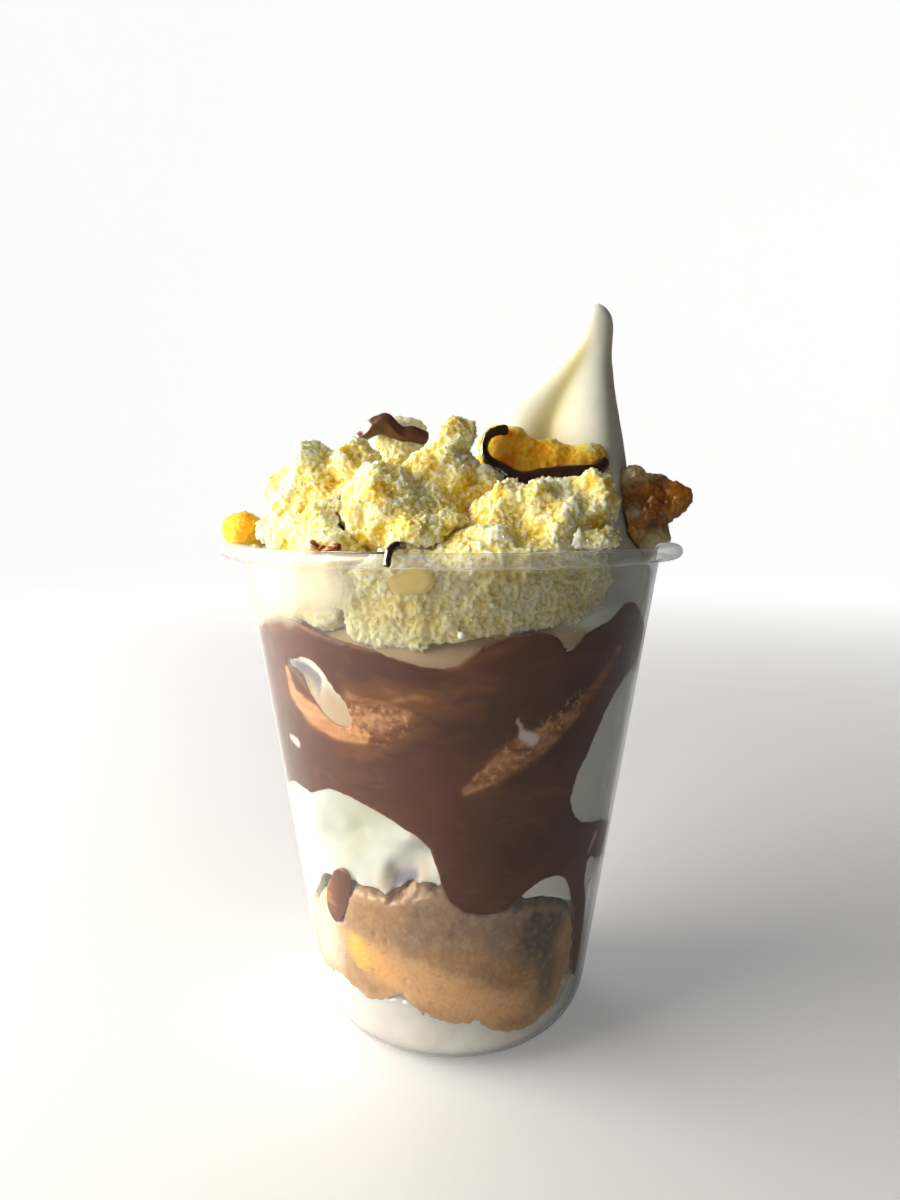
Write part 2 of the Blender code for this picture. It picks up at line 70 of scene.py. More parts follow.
def corner_arc(depth, steps=10):
    """Points (radius, z) of the rounded foot corner, depth under the outer skin, from foot to wall."""
    radius = FOOT_CORNER_RADIUS - depth
    for step in range(steps + 1):
        turn = -math.pi / 2 + (math.pi / 2 - WALL_LEAN) * step / steps
        yield CORNER_CENTRE + radius * math.cos(turn), FOOT_CORNER_RADIUS + radius * math.sin(turn)


def choose(piece):
    """Leaves this piece as the only one selected, and the active one."""
    bpy.ops.object.select_all(action="DESELECT")
    piece.select_set(True)
    bpy.context.view_layer.objects.active = piece


def draw_out(name, profile, sides, capped=True):
    """A turned piece: its first ring is drawn out from ring to ring along (radius, z), its start closed, and
    its end too where it is capped."""
    radius, height = profile[0]
    bpy.ops.object.select_all(action="DESELECT")
    bpy.ops.mesh.primitive_circle_add(vertices=sides, radius=radius, location=(0, 0, height), fill_type="NGON")
    piece = bpy.context.object
    piece.name = piece.data.name = name
    bpy.ops.object.mode_set(mode="EDIT")
    for next_radius, next_height in profile[1:]:
        rise = (0, 0, next_height - height)
        bpy.ops.mesh.extrude_edges_move(TRANSFORM_OT_translate={"value": rise})
        bpy.ops.transform.resize(value=(next_radius / radius, next_radius / radius, 1))
        radius, height = next_radius, next_height
    if capped:
        bpy.ops.mesh.edge_face_add()
    bpy.ops.mesh.select_all(action="SELECT")
    bpy.ops.mesh.normals_make_consistent(inside=not capped)
    bpy.ops.object.mode_set(mode="OBJECT")
    bpy.ops.object.transform_apply(location=True, rotation=True, scale=True)
    bpy.ops.object.shade_smooth_by_angle(angle=math.radians(50))
    return piece


def linear(hex_colour):
    """The linear RGBA of an sRGB hex colour."""
    parts = [int(hex_colour[k:k + 2], 16) / 255 for k in (1, 3, 5)]
    return (*(c / 12.92 if c <= 0.04045 else ((c + 0.055) / 1.055) ** 2.4 for c in parts), 1.0)


def add_node(tree, kind, inputs=None, **settings):
    """Adds a shader node with its settings, its values and the links into it. Returns its first output."""
    node = tree.nodes.new("ShaderNode" + kind)
    for name, value in settings.items():
        setattr(node, name, value)
    for socket, value in (inputs or {}).items():
        if isinstance(value, bpy.types.NodeSocket):
            tree.links.new(value, node.inputs[socket])
        else:
            node.inputs[socket].default_value = value
    return node.outputs[0]


def new_material(name):
    """An empty node material, with its tree and its output's surface socket."""
    made = bpy.data.materials.new(name)
    made.use_nodes = True
    made.node_tree.nodes.clear()
    surface = made.node_tree.nodes.new("ShaderNodeOutputMaterial").inputs["Surface"]
    return made, made.node_tree, surface


def hold(piece, material, slot, *nodes):
    """Gives the piece its material, hangs it from the root body and hides the solids it stands in for."""
    piece.data.materials.clear()
    piece.data.materials.append(material)
    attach(piece, "root")
    if nodes:
        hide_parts(*nodes)


def clear_polypropylene():
    """Clear sheet: see-through straight on, glossy at a glance, with a milky bloom that the rim shows most."""
    made, tree, surface = new_material("clear vacuum-formed polypropylene")
    place = add_node(tree, "TexCoord").node.outputs["Object"]
    height = add_node(tree, "SeparateXYZ", {0: place}).node.outputs["Z"]
    rim = add_node(tree, "MapRange", {0: height, 1: 99.6 * MM, 2: 100.8 * MM, 3: 0.012, 4: 0.12},
                   interpolation_type="SMOOTHSTEP")
    drawn = add_node(tree, "Mapping", {0: place, 3: (260, 260, 12)})
    streaks = add_node(tree, "TexNoise", {"Vector": drawn, "Scale": 1.0, "Detail": 2.0})
    uneven = add_node(tree, "MapRange", {0: streaks, 1: 0.3, 2: 0.7, 3: 0.6, 4: 1.4})
    milky = add_node(tree, "Math", {0: rim, 1: uneven}, operation="MULTIPLY")
    facing = add_node(tree, "LayerWeight", {"Blend": 0.5}).node.outputs["Facing"]
    glancing = add_node(tree, "Math", {0: facing, 1: 4.0}, operation="POWER")
    gloss = add_node(tree, "MapRange", {0: glancing, 3: 0.03, 4: 0.65})
    clear = add_node(tree, "BsdfTransparent", {0: linear("#F6F8F8")})
    shine = add_node(tree, "BsdfGlossy", {"Color": linear("#FFFFFF"), "Roughness": 0.28})
    bloom = add_node(tree, "BsdfDiffuse", {"Color": linear("#F2F4F4")})
    body = add_node(tree, "MixShader", {0: milky, 1: clear, 2: bloom})
    whole = add_node(tree, "MixShader", {0: gloss, 1: body, 2: shine})
    tree.links.new(whole, surface)
    return made


rim_half = RIM_THICKNESS / 2
rim_foot = CUP_HEIGHT - RIM_THICKNESS
inner_top = WALL_FOOT_RADIUS + CUP_HEIGHT * math.tan(WALL_LEAN) - WALL_THICKNESS / math.cos(WALL_LEAN)
cup_profile = list(corner_arc(0))
cup_profile += [(WALL_TOP_RADIUS - 0.1 * MM, rim_foot - 0.7 * MM), (WALL_TOP_RADIUS + 0.25 * MM, rim_foot - 0.1 * MM)]
cup_profile += [(WALL_TOP_RADIUS + 0.9 * MM, rim_foot + 0.1 * MM), (RIM_RADIUS - 2.2 * MM, rim_foot + 0.1 * MM)]
for step in range(13):
    turn = -math.pi / 2 + math.pi * step / 12
    out = RIM_RADIUS - rim_half + rim_half * math.cos(turn)
    cup_profile.append((out, CUP_HEIGHT - rim_half + rim_half * math.sin(turn)))
cup_profile += [(RIM_RADIUS - 2.6 * MM, CUP_HEIGHT - 0.05 * MM), (inner_top + 0.9 * MM, CUP_HEIGHT - 0.15 * MM)]
cup_profile += [(inner_top + 0.3 * MM, CUP_HEIGHT - 0.5 * MM), (inner_top, CUP_HEIGHT - 1.4 * MM)]
cup_profile += list(corner_arc(WALL_THICKNESS))[::-1]
cup = draw_out("clear_cup", cup_profile, CUP_SIDES)
hold(cup, clear_polypropylene(), "cup", "cup")


# --- Soft serve ----------------------------------------------------------------------------------------
# Vanilla ice cream drawn from a soft serve machine: smooth, satin and off-white, pressed against the wall
# below and pulled out into a leaning peak above. It lies just inside the wall's clear skin.

def copy_of(node, name):
    """A new piece with the solid's mesh, its loose corners joined and its faces all turned out."""
    piece = bpy.data.objects.new(name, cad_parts[node].data.copy())
    bpy.context.scene.collection.objects.link(piece)
    piece.data.name = name
    choose(piece)
    bpy.ops.mesh.customdata_custom_splitnormals_clear()
    bpy.ops.object.mode_set(mode="EDIT")
    bpy.ops.mesh.select_all(action="SELECT")
    bpy.ops.mesh.remove_doubles(threshold=0.005 * MM)
    bpy.ops.mesh.normals_make_consistent(inside=False)
    bpy.ops.object.mode_set(mode="OBJECT")
    bpy.ops.object.shade_smooth()
    return piece


def apply_modifier(piece, kind, **settings):
    """Adds a modifier with these settings and applies it."""
    modifier = piece.modifiers.new(kind.lower(), kind)
    for name, value in settings.items():
        setattr(modifier, name, value)
    choose(piece)
    bpy.ops.object.modifier_apply(modifier=modifier.name)


def remesh(piece, voxel):
    apply_modifier(piece, "REMESH", mode="VOXEL", voxel_size=voxel, use_smooth_shade=True)


def points_of(piece):
    places = np.empty(len(piece.data.vertices) * 3, np.float32)
    piece.data.vertices.foreach_get("co", places)
    return places.reshape(-1, 3)


def move_points(piece, places):
    piece.data.vertices.foreach_set("co", places.astype(np.float32).ravel())
    piece.data.update()


def wall_radius(z):
    """The radius of the cup's inner wall at each height."""
    reach = FOOT_CORNER_RADIUS - WALL_THICKNESS
    drop = np.clip(FOOT_CORNER_RADIUS - z, 0, reach)
    round_foot = CORNER_CENTRE + np.sqrt(reach**2 - drop**2)
    leaning = WALL_FOOT_RADIUS + z * math.tan(WALL_LEAN) - WALL_THICKNESS / math.cos(WALL_LEAN)
    return np.where(z < FOOT_CORNER_RADIUS * (1 - math.sin(WALL_LEAN)), round_foot, leaning)


def smooth_step(value, low, high):
    share = np.clip((value - low) / (high - low), 0, 1)
    return share * share * (3 - 2 * share)


def press_to_wall(piece, bite, push=0.0):
    """Pushes what is inside the cup outwards by push, and stops it at a bite into the wall's clear skin."""
    places = points_of(piece)
    radius = np.hypot(places[:, 0], places[:, 1])
    low = places[:, 2] < CUP_HEIGHT
    inside = 1 - smooth_step(places[:, 2], CUP_HEIGHT - 6 * MM, CUP_HEIGHT)
    push = push * (1 + 0.8 * (1 - smooth_step(places[:, 2], 34 * MM, 50 * MM)))
    wanted = radius + push * inside * smooth_step(radius, 14 * MM, 22 * MM)
    wanted = np.where(low, np.minimum(wanted, wall_radius(places[:, 2]) + bite), wanted)
    places[:, :2] *= (wanted / np.maximum(radius, 0.1 * MM))[:, None]
    places[:, 2] = np.maximum(places[:, 2], WALL_THICKNESS - bite)
    move_points(piece, places)


def blend(tree, share, below, above):
    """One colour laid over another by its share."""
    return add_node(tree, "Mix", {0: share, 6: below, 7: above}, data_type="RGBA").node.outputs[2]


def soft_serve_ice_cream():
    """Whipped vanilla ice cream: satin, with light that soaks in, and a faint grain of ice."""
    made, tree, surface = new_material("vanilla soft serve ice cream")
    place = add_node(tree, "TexCoord").node.outputs["Object"]
    drift = add_node(tree, "TexNoise", {"Vector": place, "Scale": 60.0, "Detail": 2.0})
    tint = add_node(tree, "Mix", {0: drift, 6: linear("#F4F3E8"), 7: linear("#EFEEDF")}, data_type="RGBA").node.outputs[2]

    # Painted yellowish shade in the peak's valley.
    valley_shade = add_node(tree, "Attribute", attribute_name="valley_shade").node.outputs["Fac"]
    tint = blend(tree, valley_shade, tint, linear("#D4CA94"))
    stained = add_node(tree, "Attribute", attribute_name="stained").node.outputs["Fac"]
    tint = blend(tree, stained, tint, linear("#C8A47A"))
    # Painted beige shade below the ice cream's bright left edge.
    beige_shade = add_node(tree, "Attribute", attribute_name="beige_shade").node.outputs["Fac"]
    tint = blend(tree, beige_shade, tint, linear("#C6C0A4"))
    # Painted grey-blue shade.
    shaded = add_node(tree, "Attribute", attribute_name="shaded").node.outputs["Fac"]
    tint = blend(tree, shaded, tint, linear("#7C7888"))
    grain = add_node(tree, "TexNoise", {"Vector": place, "Scale": 2200.0, "Detail": 3.0})
    bump = add_node(tree, "Bump", {"Height": grain, "Strength": 0.12, "Distance": 0.05 * MM})
    body = add_node(tree, "BsdfPrincipled", {
        "Base Color": tint, "Roughness": 0.45, "IOR": 1.36, "Specular IOR Level": 0.1, "Normal": bump,
        "Subsurface Weight": 0.55, "Subsurface Radius": (1.0, 0.9, 0.65), "Subsurface Scale": 2.5 * MM,
    })
    tree.links.new(body, surface)
    return made


def wall_flat(places):
    """Where each point lies on the wall laid flat, in mm: x round the cup, y up. Also its height in mm."""
    angle = np.degrees(np.arctan2(places[:, 0], -places[:, 1]))
    return np.stack([angle * WALL_DEGREE, places[:, 2] / MM], axis=1)


def stroke(places, path, soft):
    """1 along a stroke on the wall and 0 away from it. The path is (degrees round, mm up, half width in mm)
    from point to point, and soft is the share of the half width over which it fades."""
    flat = wall_flat(places)
    share = np.zeros(len(flat))
    for start, end in zip(path[:-1], path[1:]):
        first = np.array([start[0] * WALL_DEGREE, start[1]])
        along = np.array([end[0] * WALL_DEGREE, end[1]]) - first
        t = np.clip((flat - first) @ along / max(along @ along, 1e-9), 0, 1)
        away = np.linalg.norm(flat - first - t[:, None] * along, axis=1)
        half = start[2] + (end[2] - start[2]) * t
        share = np.maximum(share, 1 - smooth_step(away / half, 1 - soft, 1 + soft))
    return share


def paint(piece, name, strokes):
    """Stores how strongly the strokes of (strength, softness, path) cover each point of a piece."""
    places = points_of(piece)
    cover = np.zeros(len(places))
    for strength, soft, path in strokes:
        cover = np.maximum(cover, strength * stroke(places, path, soft))
    marked = piece.data.attributes.new(name, "FLOAT", "POINT")
    marked.data.foreach_set("value", cover.astype(np.float32))


def dent(piece, path, depth, soft=0.7):
    """Sinks a piece that lies against the wall, along a stroke, by so many mm towards the cup's middle."""
    places = points_of(piece)
    radius = np.hypot(places[:, 0], places[:, 1])
    outer = smooth_step(radius - wall_radius(places[:, 2]), -5 * MM, -2 * MM)
    sunk = 1 - stroke(places, path, soft) * depth * MM * outer / np.maximum(radius, MM)
    places[:, :2] *= sunk[:, None]
    move_points(piece, places)


SERVE_BITE = 0.15 * MM
SERVE_PUSH = 2.3 * MM  # the solid leaves room for the sauce all round: its dressed shape meets the wall
WALL_DEGREE = 0.65  # mm along the wall for each degree round the cup, at half height
# Hollows in the ice cream where it does not touch the wall: (depth in mm, stroke).
SERVE_HOLLOWS = [
    (1.5, [(-42, 49, 4), (-32, 54, 4.5), (-20, 55, 4)]),
    (1.8, [(-20, 43, 2.4), (-12, 46, 2.6), (-6, 49, 2.4)]),
    (1.2, [(-20, 42, 1.8), (-14, 43, 1.8)]),
    (1.5, [(-60, 92, 4), (-40, 90, 4)]),
    (2.0, [(40, 97, 3), (75, 96, 3)]),
    (2.0, [(60, 28, 5), (80, 26, 6)]),
    (1.6, [(-48, 81, 1.6), (-41, 79, 1.8)]),
]
# Where sauce and cake have stained the ice cream tan: beside the crumb, and in the sauce's left window.
SERVE_STAINS = [
    (0.9, 0.5, [(-46, 87, 3.0), (-30, 86, 4.0), (-12, 83, 4.5), (6, 85, 4.0), (24, 88, 3.0), (36, 87, 2.0)]),
    (0.85, 0.5, [(-46, 79, 2.6), (-30, 73, 3.4)]),
    (0.55, 0.8, [(-10, 44, 2.0), (-24, 40, 2.0)]),
]
# Painted grey-blue shade in the upper left of the sauce's window, and in the gap beside the drip.
SERVE_SHADE = [
    (0.8, 0.35, [(-49, 81, 0.8), (-44, 80.6, 1.4), (-41, 79.2, 1.5), (-39.5, 77, 0.7)]),
    (0.95, 0.8, [(-20, 41.2, 1.5), (-13.5, 42.3, 1.5)]),
    (0.4, 0.9, [(-22, 42, 2.4), (-14, 46, 2.4), (-7, 49.5, 2.6)]),
]
# Painted beige shade between the ice cream's bright edge at the left and its fold.
SERVE_BEIGE_SHADE = [(0.7, 0.9, [(-38, 46, 2.6), (-34, 52, 3.4), (-27, 56, 3.8), (-18, 57, 3.6)])]
# The peak's middle line and the star nozzle's ridges on the solid: mm up, x, y, ridge depth as a share.
PEAK_LINE = [(110, 16.5, 6.0, 0.03), (115, 21.5, 5.8, 0.06), (121.2, 23.2, 5.3, 0.10), (127.5, 23.6, 5.0, 0.13),
             (134.8, 25.8, 5.0, 0.15), (143.2, 29.2, 5.0, 0.13), (147.1, 30.2, 5.0, 0.09), (153, 30.9, 5.0, 0.0)]
# What the pulled peak really has, in degrees round it from the front: middle, reach, depth as a share.
PEAK_FOLDS = [(-78, 30, 0.24), (-20, 24, -0.24), (30, 19, 0.17), (150, 25, 0.10), (-150, 25, 0.10)]


def reshape_peak(piece):
    """Trades the even star ridges of the solid for the peak's own folds, and rounds its tip."""
    places = points_of(piece).astype(np.float64) / MM
    line = np.array(PEAK_LINE)
    x, y, ridge = (np.interp(places[:, 2], line[:, 0], line[:, k]) for k in (1, 2, 3))
    east, south = places[:, 0] - x, y - places[:, 1]
    angle = np.degrees(np.arctan2(east, south))
    even = ridge * np.cos(np.radians(5 * (angle + 3 - 0.62 * (places[:, 2] - 121.2))))
    wanted = np.zeros(len(places))
    for middle, reach, depth in PEAK_FOLDS:
        wanted += depth * np.exp(-(((angle - middle + 180) % 360 - 180) / reach) ** 2)
    wanted *= 1 - 0.6 * smooth_step(places[:, 2], 130, 142)
    wanted *= 1 - smooth_step(places[:, 2], 142, 150)
    share = smooth_step(places[:, 2], 108, 118)
    grow = 1 + share * ((1 + wanted) / (1 + even) - 1)
    places[:, 0] = x + east * grow
    places[:, 1] = y - south * grow
    tip = places - np.array((30.7, 5.0, 148.0))
    reach = np.linalg.norm(tip, axis=1)
    near = smooth_step(places[:, 2], 141, 149)
    places += tip / np.maximum(reach, 0.1)[:, None] * (0.75 * near)[:, None]
    move_points(piece, places * MM)
    # Painted yellowish shade in the broad valley left of the front ridge, fading out towards the tip.
    marked = piece.data.attributes.new("valley_shade", "FLOAT", "POINT")
    valley_shade = share * np.exp(-((angle + 24) / 22) ** 2) * (1 - smooth_step(places[:, 2], 140, 150))
    marked.data.foreach_set("value", valley_shade.astype(np.float32))


serve = copy_of("soft_serve", "soft_serve_ice_cream")
remesh(serve, 0.8 * MM)
apply_modifier(serve, "SMOOTH", factor=0.5, iterations=10)
press_to_wall(serve, SERVE_BITE, SERVE_PUSH)
for depth, path in SERVE_HOLLOWS:
    dent(serve, path, depth)
paint(serve, "stained", SERVE_STAINS)
paint(serve, "shaded", SERVE_SHADE)
paint(serve, "beige_shade", SERVE_BEIGE_SHADE)
reshape_peak(serve)
apply_modifier(serve, "SMOOTH", factor=0.5, iterations=3)
ice_cream = soft_serve_ice_cream()
hold(serve, ice_cream, "ice_cream", "soft_serve")


# --- Melted ice cream ----------------------------------------------------------------------------------
# Milk and ice cream that have run down and lie at the foot of the cup, up to a soft level line.

def melted_milk():
    """Melted vanilla ice cream: a thin milk, greyer than the ice cream, with slow swirls in it."""
    made, tree, surface = new_material("melted vanilla ice cream")
    place = add_node(tree, "TexCoord").node.outputs["Object"]
    swirl = add_node(tree, "TexNoise", {"Vector": place, "Scale": 70.0, "Detail": 2.0, "Distortion": 1.2})
    share = add_node(tree, "MapRange", {0: swirl, 1: 0.35, 2: 0.65})
    mixed = add_node(tree, "Mix", {0: share, 6: linear("#E2DAD4"), 7: linear("#F6EFE9")}, data_type="RGBA")
    body = add_node(tree, "BsdfPrincipled", {
        "Base Color": mixed.node.outputs[2], "Roughness": 0.25, "IOR": 1.35,
        "Subsurface Weight": 0.9, "Subsurface Radius": (1.0, 0.9, 0.8), "Subsurface Scale": 14 * MM,
    })
    tree.links.new(body, surface)
    return made


POOL_GROWTH = 1.2 * MM
pool = copy_of("melted_ice_cream", "melted_ice_cream_pool")
remesh(pool, 0.8 * MM)
apply_modifier(pool, "DISPLACE", strength=POOL_GROWTH, mid_level=0.0)
press_to_wall(pool, 0.2 * MM)
hold(pool, melted_milk(), "melted_ice_cream", "melted_ice_cream")


# --- Soaked cake at the foot ---------------------------------------------------------------------------
# A piece of sponge cake pressed against the wall, soaked brown with sauce and milk, with a painted orange
# glow where light comes through its crumb. A small pale piece lies to its right.

def wall_places(tree, wander, grain):
    """Where each point lies on the wall laid flat, in mm: x round the cup, y up. Noise of the given grain, in
    mm, makes it wander by so many mm, so that patches drawn on it have ragged edges."""
    place = add_node(tree, "TexCoord").node.outputs["Object"]
    axes = add_node(tree, "SeparateXYZ", {0: place}).node
    ahead = add_node(tree, "Math", {0: axes.outputs["Y"], 1: -1.0}, operation="MULTIPLY")
    angle = add_node(tree, "Math", {0: axes.outputs["X"], 1: ahead}, operation="ARCTAN2")
    along = add_node(tree, "Math", {0: angle, 1: math.degrees(WALL_DEGREE)}, operation="MULTIPLY")
    height = add_node(tree, "Math", {0: axes.outputs["Z"], 1: 1 / MM}, operation="MULTIPLY")
    flat = add_node(tree, "CombineXYZ", {0: along, 1: height})
    noise = add_node(tree, "TexNoise", {"Vector": place, "Scale": 1 / (grain * MM), "Detail": 3.0}).node
    centred = add_node(tree, "VectorMath", {0: noise.outputs["Color"], 1: (0.5, 0.5, 0.5)}, operation="SUBTRACT")
    shift = add_node(tree, "VectorMath", {0: centred, 1: (2 * wander, 2 * wander, 0)}, operation="MULTIPLY")
    return place, add_node(tree, "VectorMath", {0: flat, 1: shift}, operation="ADD")


def patch(tree, flat, angle, height, half_wide, half_high, tilt=0.0, soft=0.4):
    """1 inside an oval on the flat wall and 0 outside it, its sizes in mm and its tilt in degrees."""
    local = add_node(tree, "Mapping", {
        "Vector": flat, "Location": (angle * WALL_DEGREE, height, 0),
        "Rotation": (0, 0, math.radians(tilt)), "Scale": (half_wide, half_high, 1),
    }, vector_type="TEXTURE")
    length = add_node(tree, "VectorMath", {0: local}, operation="LENGTH").node.outputs["Value"]
    return add_node(tree, "MapRange", {0: length, 1: 1 + soft, 2: 1 - soft}, interpolation_type="SMOOTHSTEP")


def lay_patches(tree, flat, colour, patches):
    """Lays each patch of (hex colour, strength, *oval) over the colour in turn."""
    for tint, strength, *oval in patches:
        share = add_node(tree, "Math", {0: patch(tree, flat, *oval), 1: strength}, operation="MULTIPLY")
        colour = blend(tree, share, colour, linear(tint))
    return colour


# Each patch: colour, strength, degrees round, mm up, half width and half height in mm, tilt, softness.
SOAKED_PATCHES = [
    ("#8C7264", 0.75, 0, 35, 16, 6, 8, 0.5),
    ("#7E6A60", 0.6, 22, 32, 7, 7, 0, 0.5),
    ("#E9B47C", 0.85, -8, 20, 19, 4.5, -14, 0.5),
    ("#E9B478", 0.6, 18, 15, 9, 3.5, -8, 0.5),
    ("#F6E4C8", 0.9, -58, 26, 8, 9, 0, 0.5),
    # Painted orange glow where light comes through the crumb, in these two patches.
    ("#FFC246", 0.95, -36, 25.2, 3.8, 3.0, -20, 0.6),
    ("#F4AC48", 0.5, -28, 23.5, 5.5, 3.0, -25, 0.6),
    ("#A97C50", 0.7, -26, 34, 8, 4, 10, 0.5),
    # Painted shade in the dark gap right of the front, over sauce-brown crumb, in these two patches.
    ("#3F3A34", 0.85, 34, 31, 6, 9, -20, 0.4),
    ("#4E4840", 0.7, 38, 20, 3, 6, 10, 0.5),
]


def soaked_sponge():
    """Sponge cake soaked through: brown to tan in cloudy patches, damp, with its crumb pressed flat."""
    made, tree, surface = new_material("sauce-soaked sponge cake")
    place, flat = wall_places(tree, 2.0, 4.0)
    cloud = add_node(tree, "TexNoise", {"Vector": place, "Scale": 1 / (5 * MM), "Detail": 4.0})
    share = add_node(tree, "MapRange", {0: cloud, 1: 0.35, 2: 0.65})
    colour = blend(tree, share, linear("#A6784C"), linear("#BC9062"))
    colour = lay_patches(tree, flat, colour, SOAKED_PATCHES)
    crumb = add_node(tree, "TexNoise", {"Vector": place, "Scale": 1 / (0.9 * MM), "Detail": 3.0})
    stands_out = add_node(tree, "Attribute", attribute_name="crumb").node.outputs["Fac"]
    # Painted highlight on the crumb that stands out, and painted shade in its hollows.
    pale = add_node(tree, "MapRange", {0: stands_out, 1: 0.0, 2: 0.3, 4: 0.25})
    colour = blend(tree, pale, colour, linear("#DDB98C"))
    sunk = add_node(tree, "MapRange", {0: stands_out, 1: 0.0, 2: -0.3, 4: 0.15})
    colour = blend(tree, sunk, colour, linear("#7A5638"))
    dark = add_node(tree, "MapRange", {0: crumb, 1: 0.42, 2: 0.25, 4: 0.35})
    colour = blend(tree, dark, colour, linear("#6E4E36"))
    bump = add_node(tree, "Bump", {"Height": crumb, "Strength": 0.5, "Distance": 0.3 * MM})
    body = add_node(tree, "BsdfPrincipled", {
        "Base Color": colour, "Roughness": 0.5, "IOR": 1.4, "Normal": bump,
        "Subsurface Weight": 0.3, "Subsurface Radius": (1.0, 0.6, 0.3), "Subsurface Scale": 2 * MM,
    })
    tree.links.new(body, surface)
    return made


def cells(name, size, depth=1):
    """A relief of rounded cells, each about the given size across."""
    made = bpy.data.textures.new(name, "CLOUDS")
    made.noise_basis = "VORONOI_F1"
    made.noise_scale = size
    made.noise_depth = depth
    return made


def relief(piece, texture, height):
    """Raises the piece by a texture: a negative height lifts the middles of cells into rounded lumps."""
    apply_modifier(piece, "DISPLACE", texture=texture, texture_coords="LOCAL", strength=height, mid_level=0.48)


soaked_lumps = cells("soaked lumps", 4.5 * MM, 2)
soaked_crumb = cells("soaked crumb", 1.6 * MM, 2)
def mark_relief(piece, name, rounds):
    """Stores how far each point stands out of its surroundings, in mm: below zero in hollows. The
    surroundings are the mesh evened out over so many rounds."""
    mesh = piece.data
    ends = np.empty(len(mesh.edges) * 2, np.int32)
    mesh.edges.foreach_get("vertices", ends)
    first, last = ends.reshape(-1, 2).T
    places = points_of(piece).astype(np.float64)
    count = len(places)
    links = np.bincount(first, minlength=count) + np.bincount(last, minlength=count)
    even = places.copy()
    for _ in range(rounds):
        for axis in range(3):
            total = np.bincount(first, even[last, axis], count) + np.bincount(last, even[first, axis], count)
            even[:, axis] = total / np.maximum(links, 1)
    normals = np.empty(count * 3, np.float32)
    mesh.vertex_normals.foreach_get("vector", normals)
    stands_out = np.einsum("ij,ij->i", places - even, normals.reshape(-1, 3)) / MM
    marked = mesh.attributes.new(name, "FLOAT", "POINT")
    marked.data.foreach_set("value", stands_out.astype(np.float32))


def sag(piece):
    """Lets the foot of the cake hang lower, most of all right of the front."""
    places = points_of(piece)
    turn = np.degrees(np.arctan2(places[:, 0], -places[:, 1]))
    share = 1 - smooth_step(places[:, 2], 10 * MM, 25 * MM)
    places[:, 2] -= share * (1.8 + 1.6 * smooth_step(turn, -10, 12)) * MM
    move_points(piece, places)


cake = copy_of("bottom_cake", "soaked_cake")
remesh(cake, 0.7 * MM)
sag(cake)
relief(cake, soaked_lumps, -1.2 * MM)
apply_modifier(cake, "DISPLACE", strength=0.9 * MM, mid_level=0.0)
remesh(cake, 0.5 * MM)
relief(cake, soaked_crumb, -1.1 * MM)
mark_relief(cake, "crumb", 16)
press_to_wall(cake, 0.25 * MM)
soaked = soaked_sponge()
hold(cake, soaked, "soaked_cake", "bottom_cake")


# --- Chocolate sauce on the wall -----------------------------------------------------------------------
# Warm chocolate sauce poured round the inside of the cup before it was filled. It clings to the wall in
# one broad band with tongues that run down, dark where it is thick and tan where ice cream thins it.

# Where ice cream has thinned the sauce to tan, with painted haze on the blob, and where crumbs of cake show through
# it.
THIN_SAUCE = [
    (1.0, 0.45, [(-52, 80.3, 0.7), (-50, 75.6, 1.6), (-43, 72.6, 2.5), (-33, 70.8, 2.7), (-25, 69.9, 1.6)]),
    (0.8, 0.6, [(-27, 73.5, 2.4), (-20, 73, 2.8), (-13, 74.3, 2.4)]),
    (0.55, 0.7, [(-27, 77, 2.0), (-18, 76.5, 3.8), (-8, 77, 3.6)]),
    (0.35, 0.8, [(-8, 77, 4.0), (0, 78.4, 3.0), (8, 80, 2.2)]),
    (0.35, 0.8, [(-33, 67.5, 2.0), (-25, 67.3, 2.0), (-14, 70.8, 2.2), (-6, 74, 2.2)]),
    (0.7, 0.35, [(3.5, 60.5, 0.9), (12, 64.3, 2.5), (17, 66.9, 3.1), (23, 68.4, 2.9), (29.5, 71.1, 2.1), (35, 73.6, 1.7)]),
    (0.5, 0.6, [(35, 73.6, 1.8), (40.5, 76.9, 1.5), (45.5, 80.2, 1.2), (50, 84, 1.0)]),
    (0.55, 0.5, [(43, 51.2, 1.4)]),
    # Painted haze on the blob, where the milky wall scatters light over it.
    (0.7, 0.9, [(-51, 42, 3.5), (-48, 35, 3.0)]),
    (0.3, 0.8, [(-60, 88, 1.6), (-43, 89.4, 1.2), (-29, 90.4, 1.2), (-13, 87, 1.2), (0, 83.5, 1.2), (7, 85, 1.2), (17, 87.6, 1.2)]),
]
CRUMBS_BEHIND = [
    (1.0, 0.5, [(-30, 73, 3.2), (-20, 72.5, 3.4), (-12, 74, 2.0)]),
    (1.0, 0.4, [(8, 62.5, 1.6), (17, 67, 3.0), (26, 71, 2.2), (36, 76.5, 1.2)]),
]
CLEAR_SPOTS = [
    (1.0, 0.3, [(19, 70.6, 0.9), (22, 69.6, 1.2)]),
    (0.8, 0.3, [(19.5, 70.5, 0.5), (17, 73.5, 0.25)]),
    (1.0, 0.5, [(-53, 65.5, 0.9), (-57, 66, 0.6)]),
    (0.6, 0.5, [(56, 46, 0.8), (53, 43, 0.5)]),
]


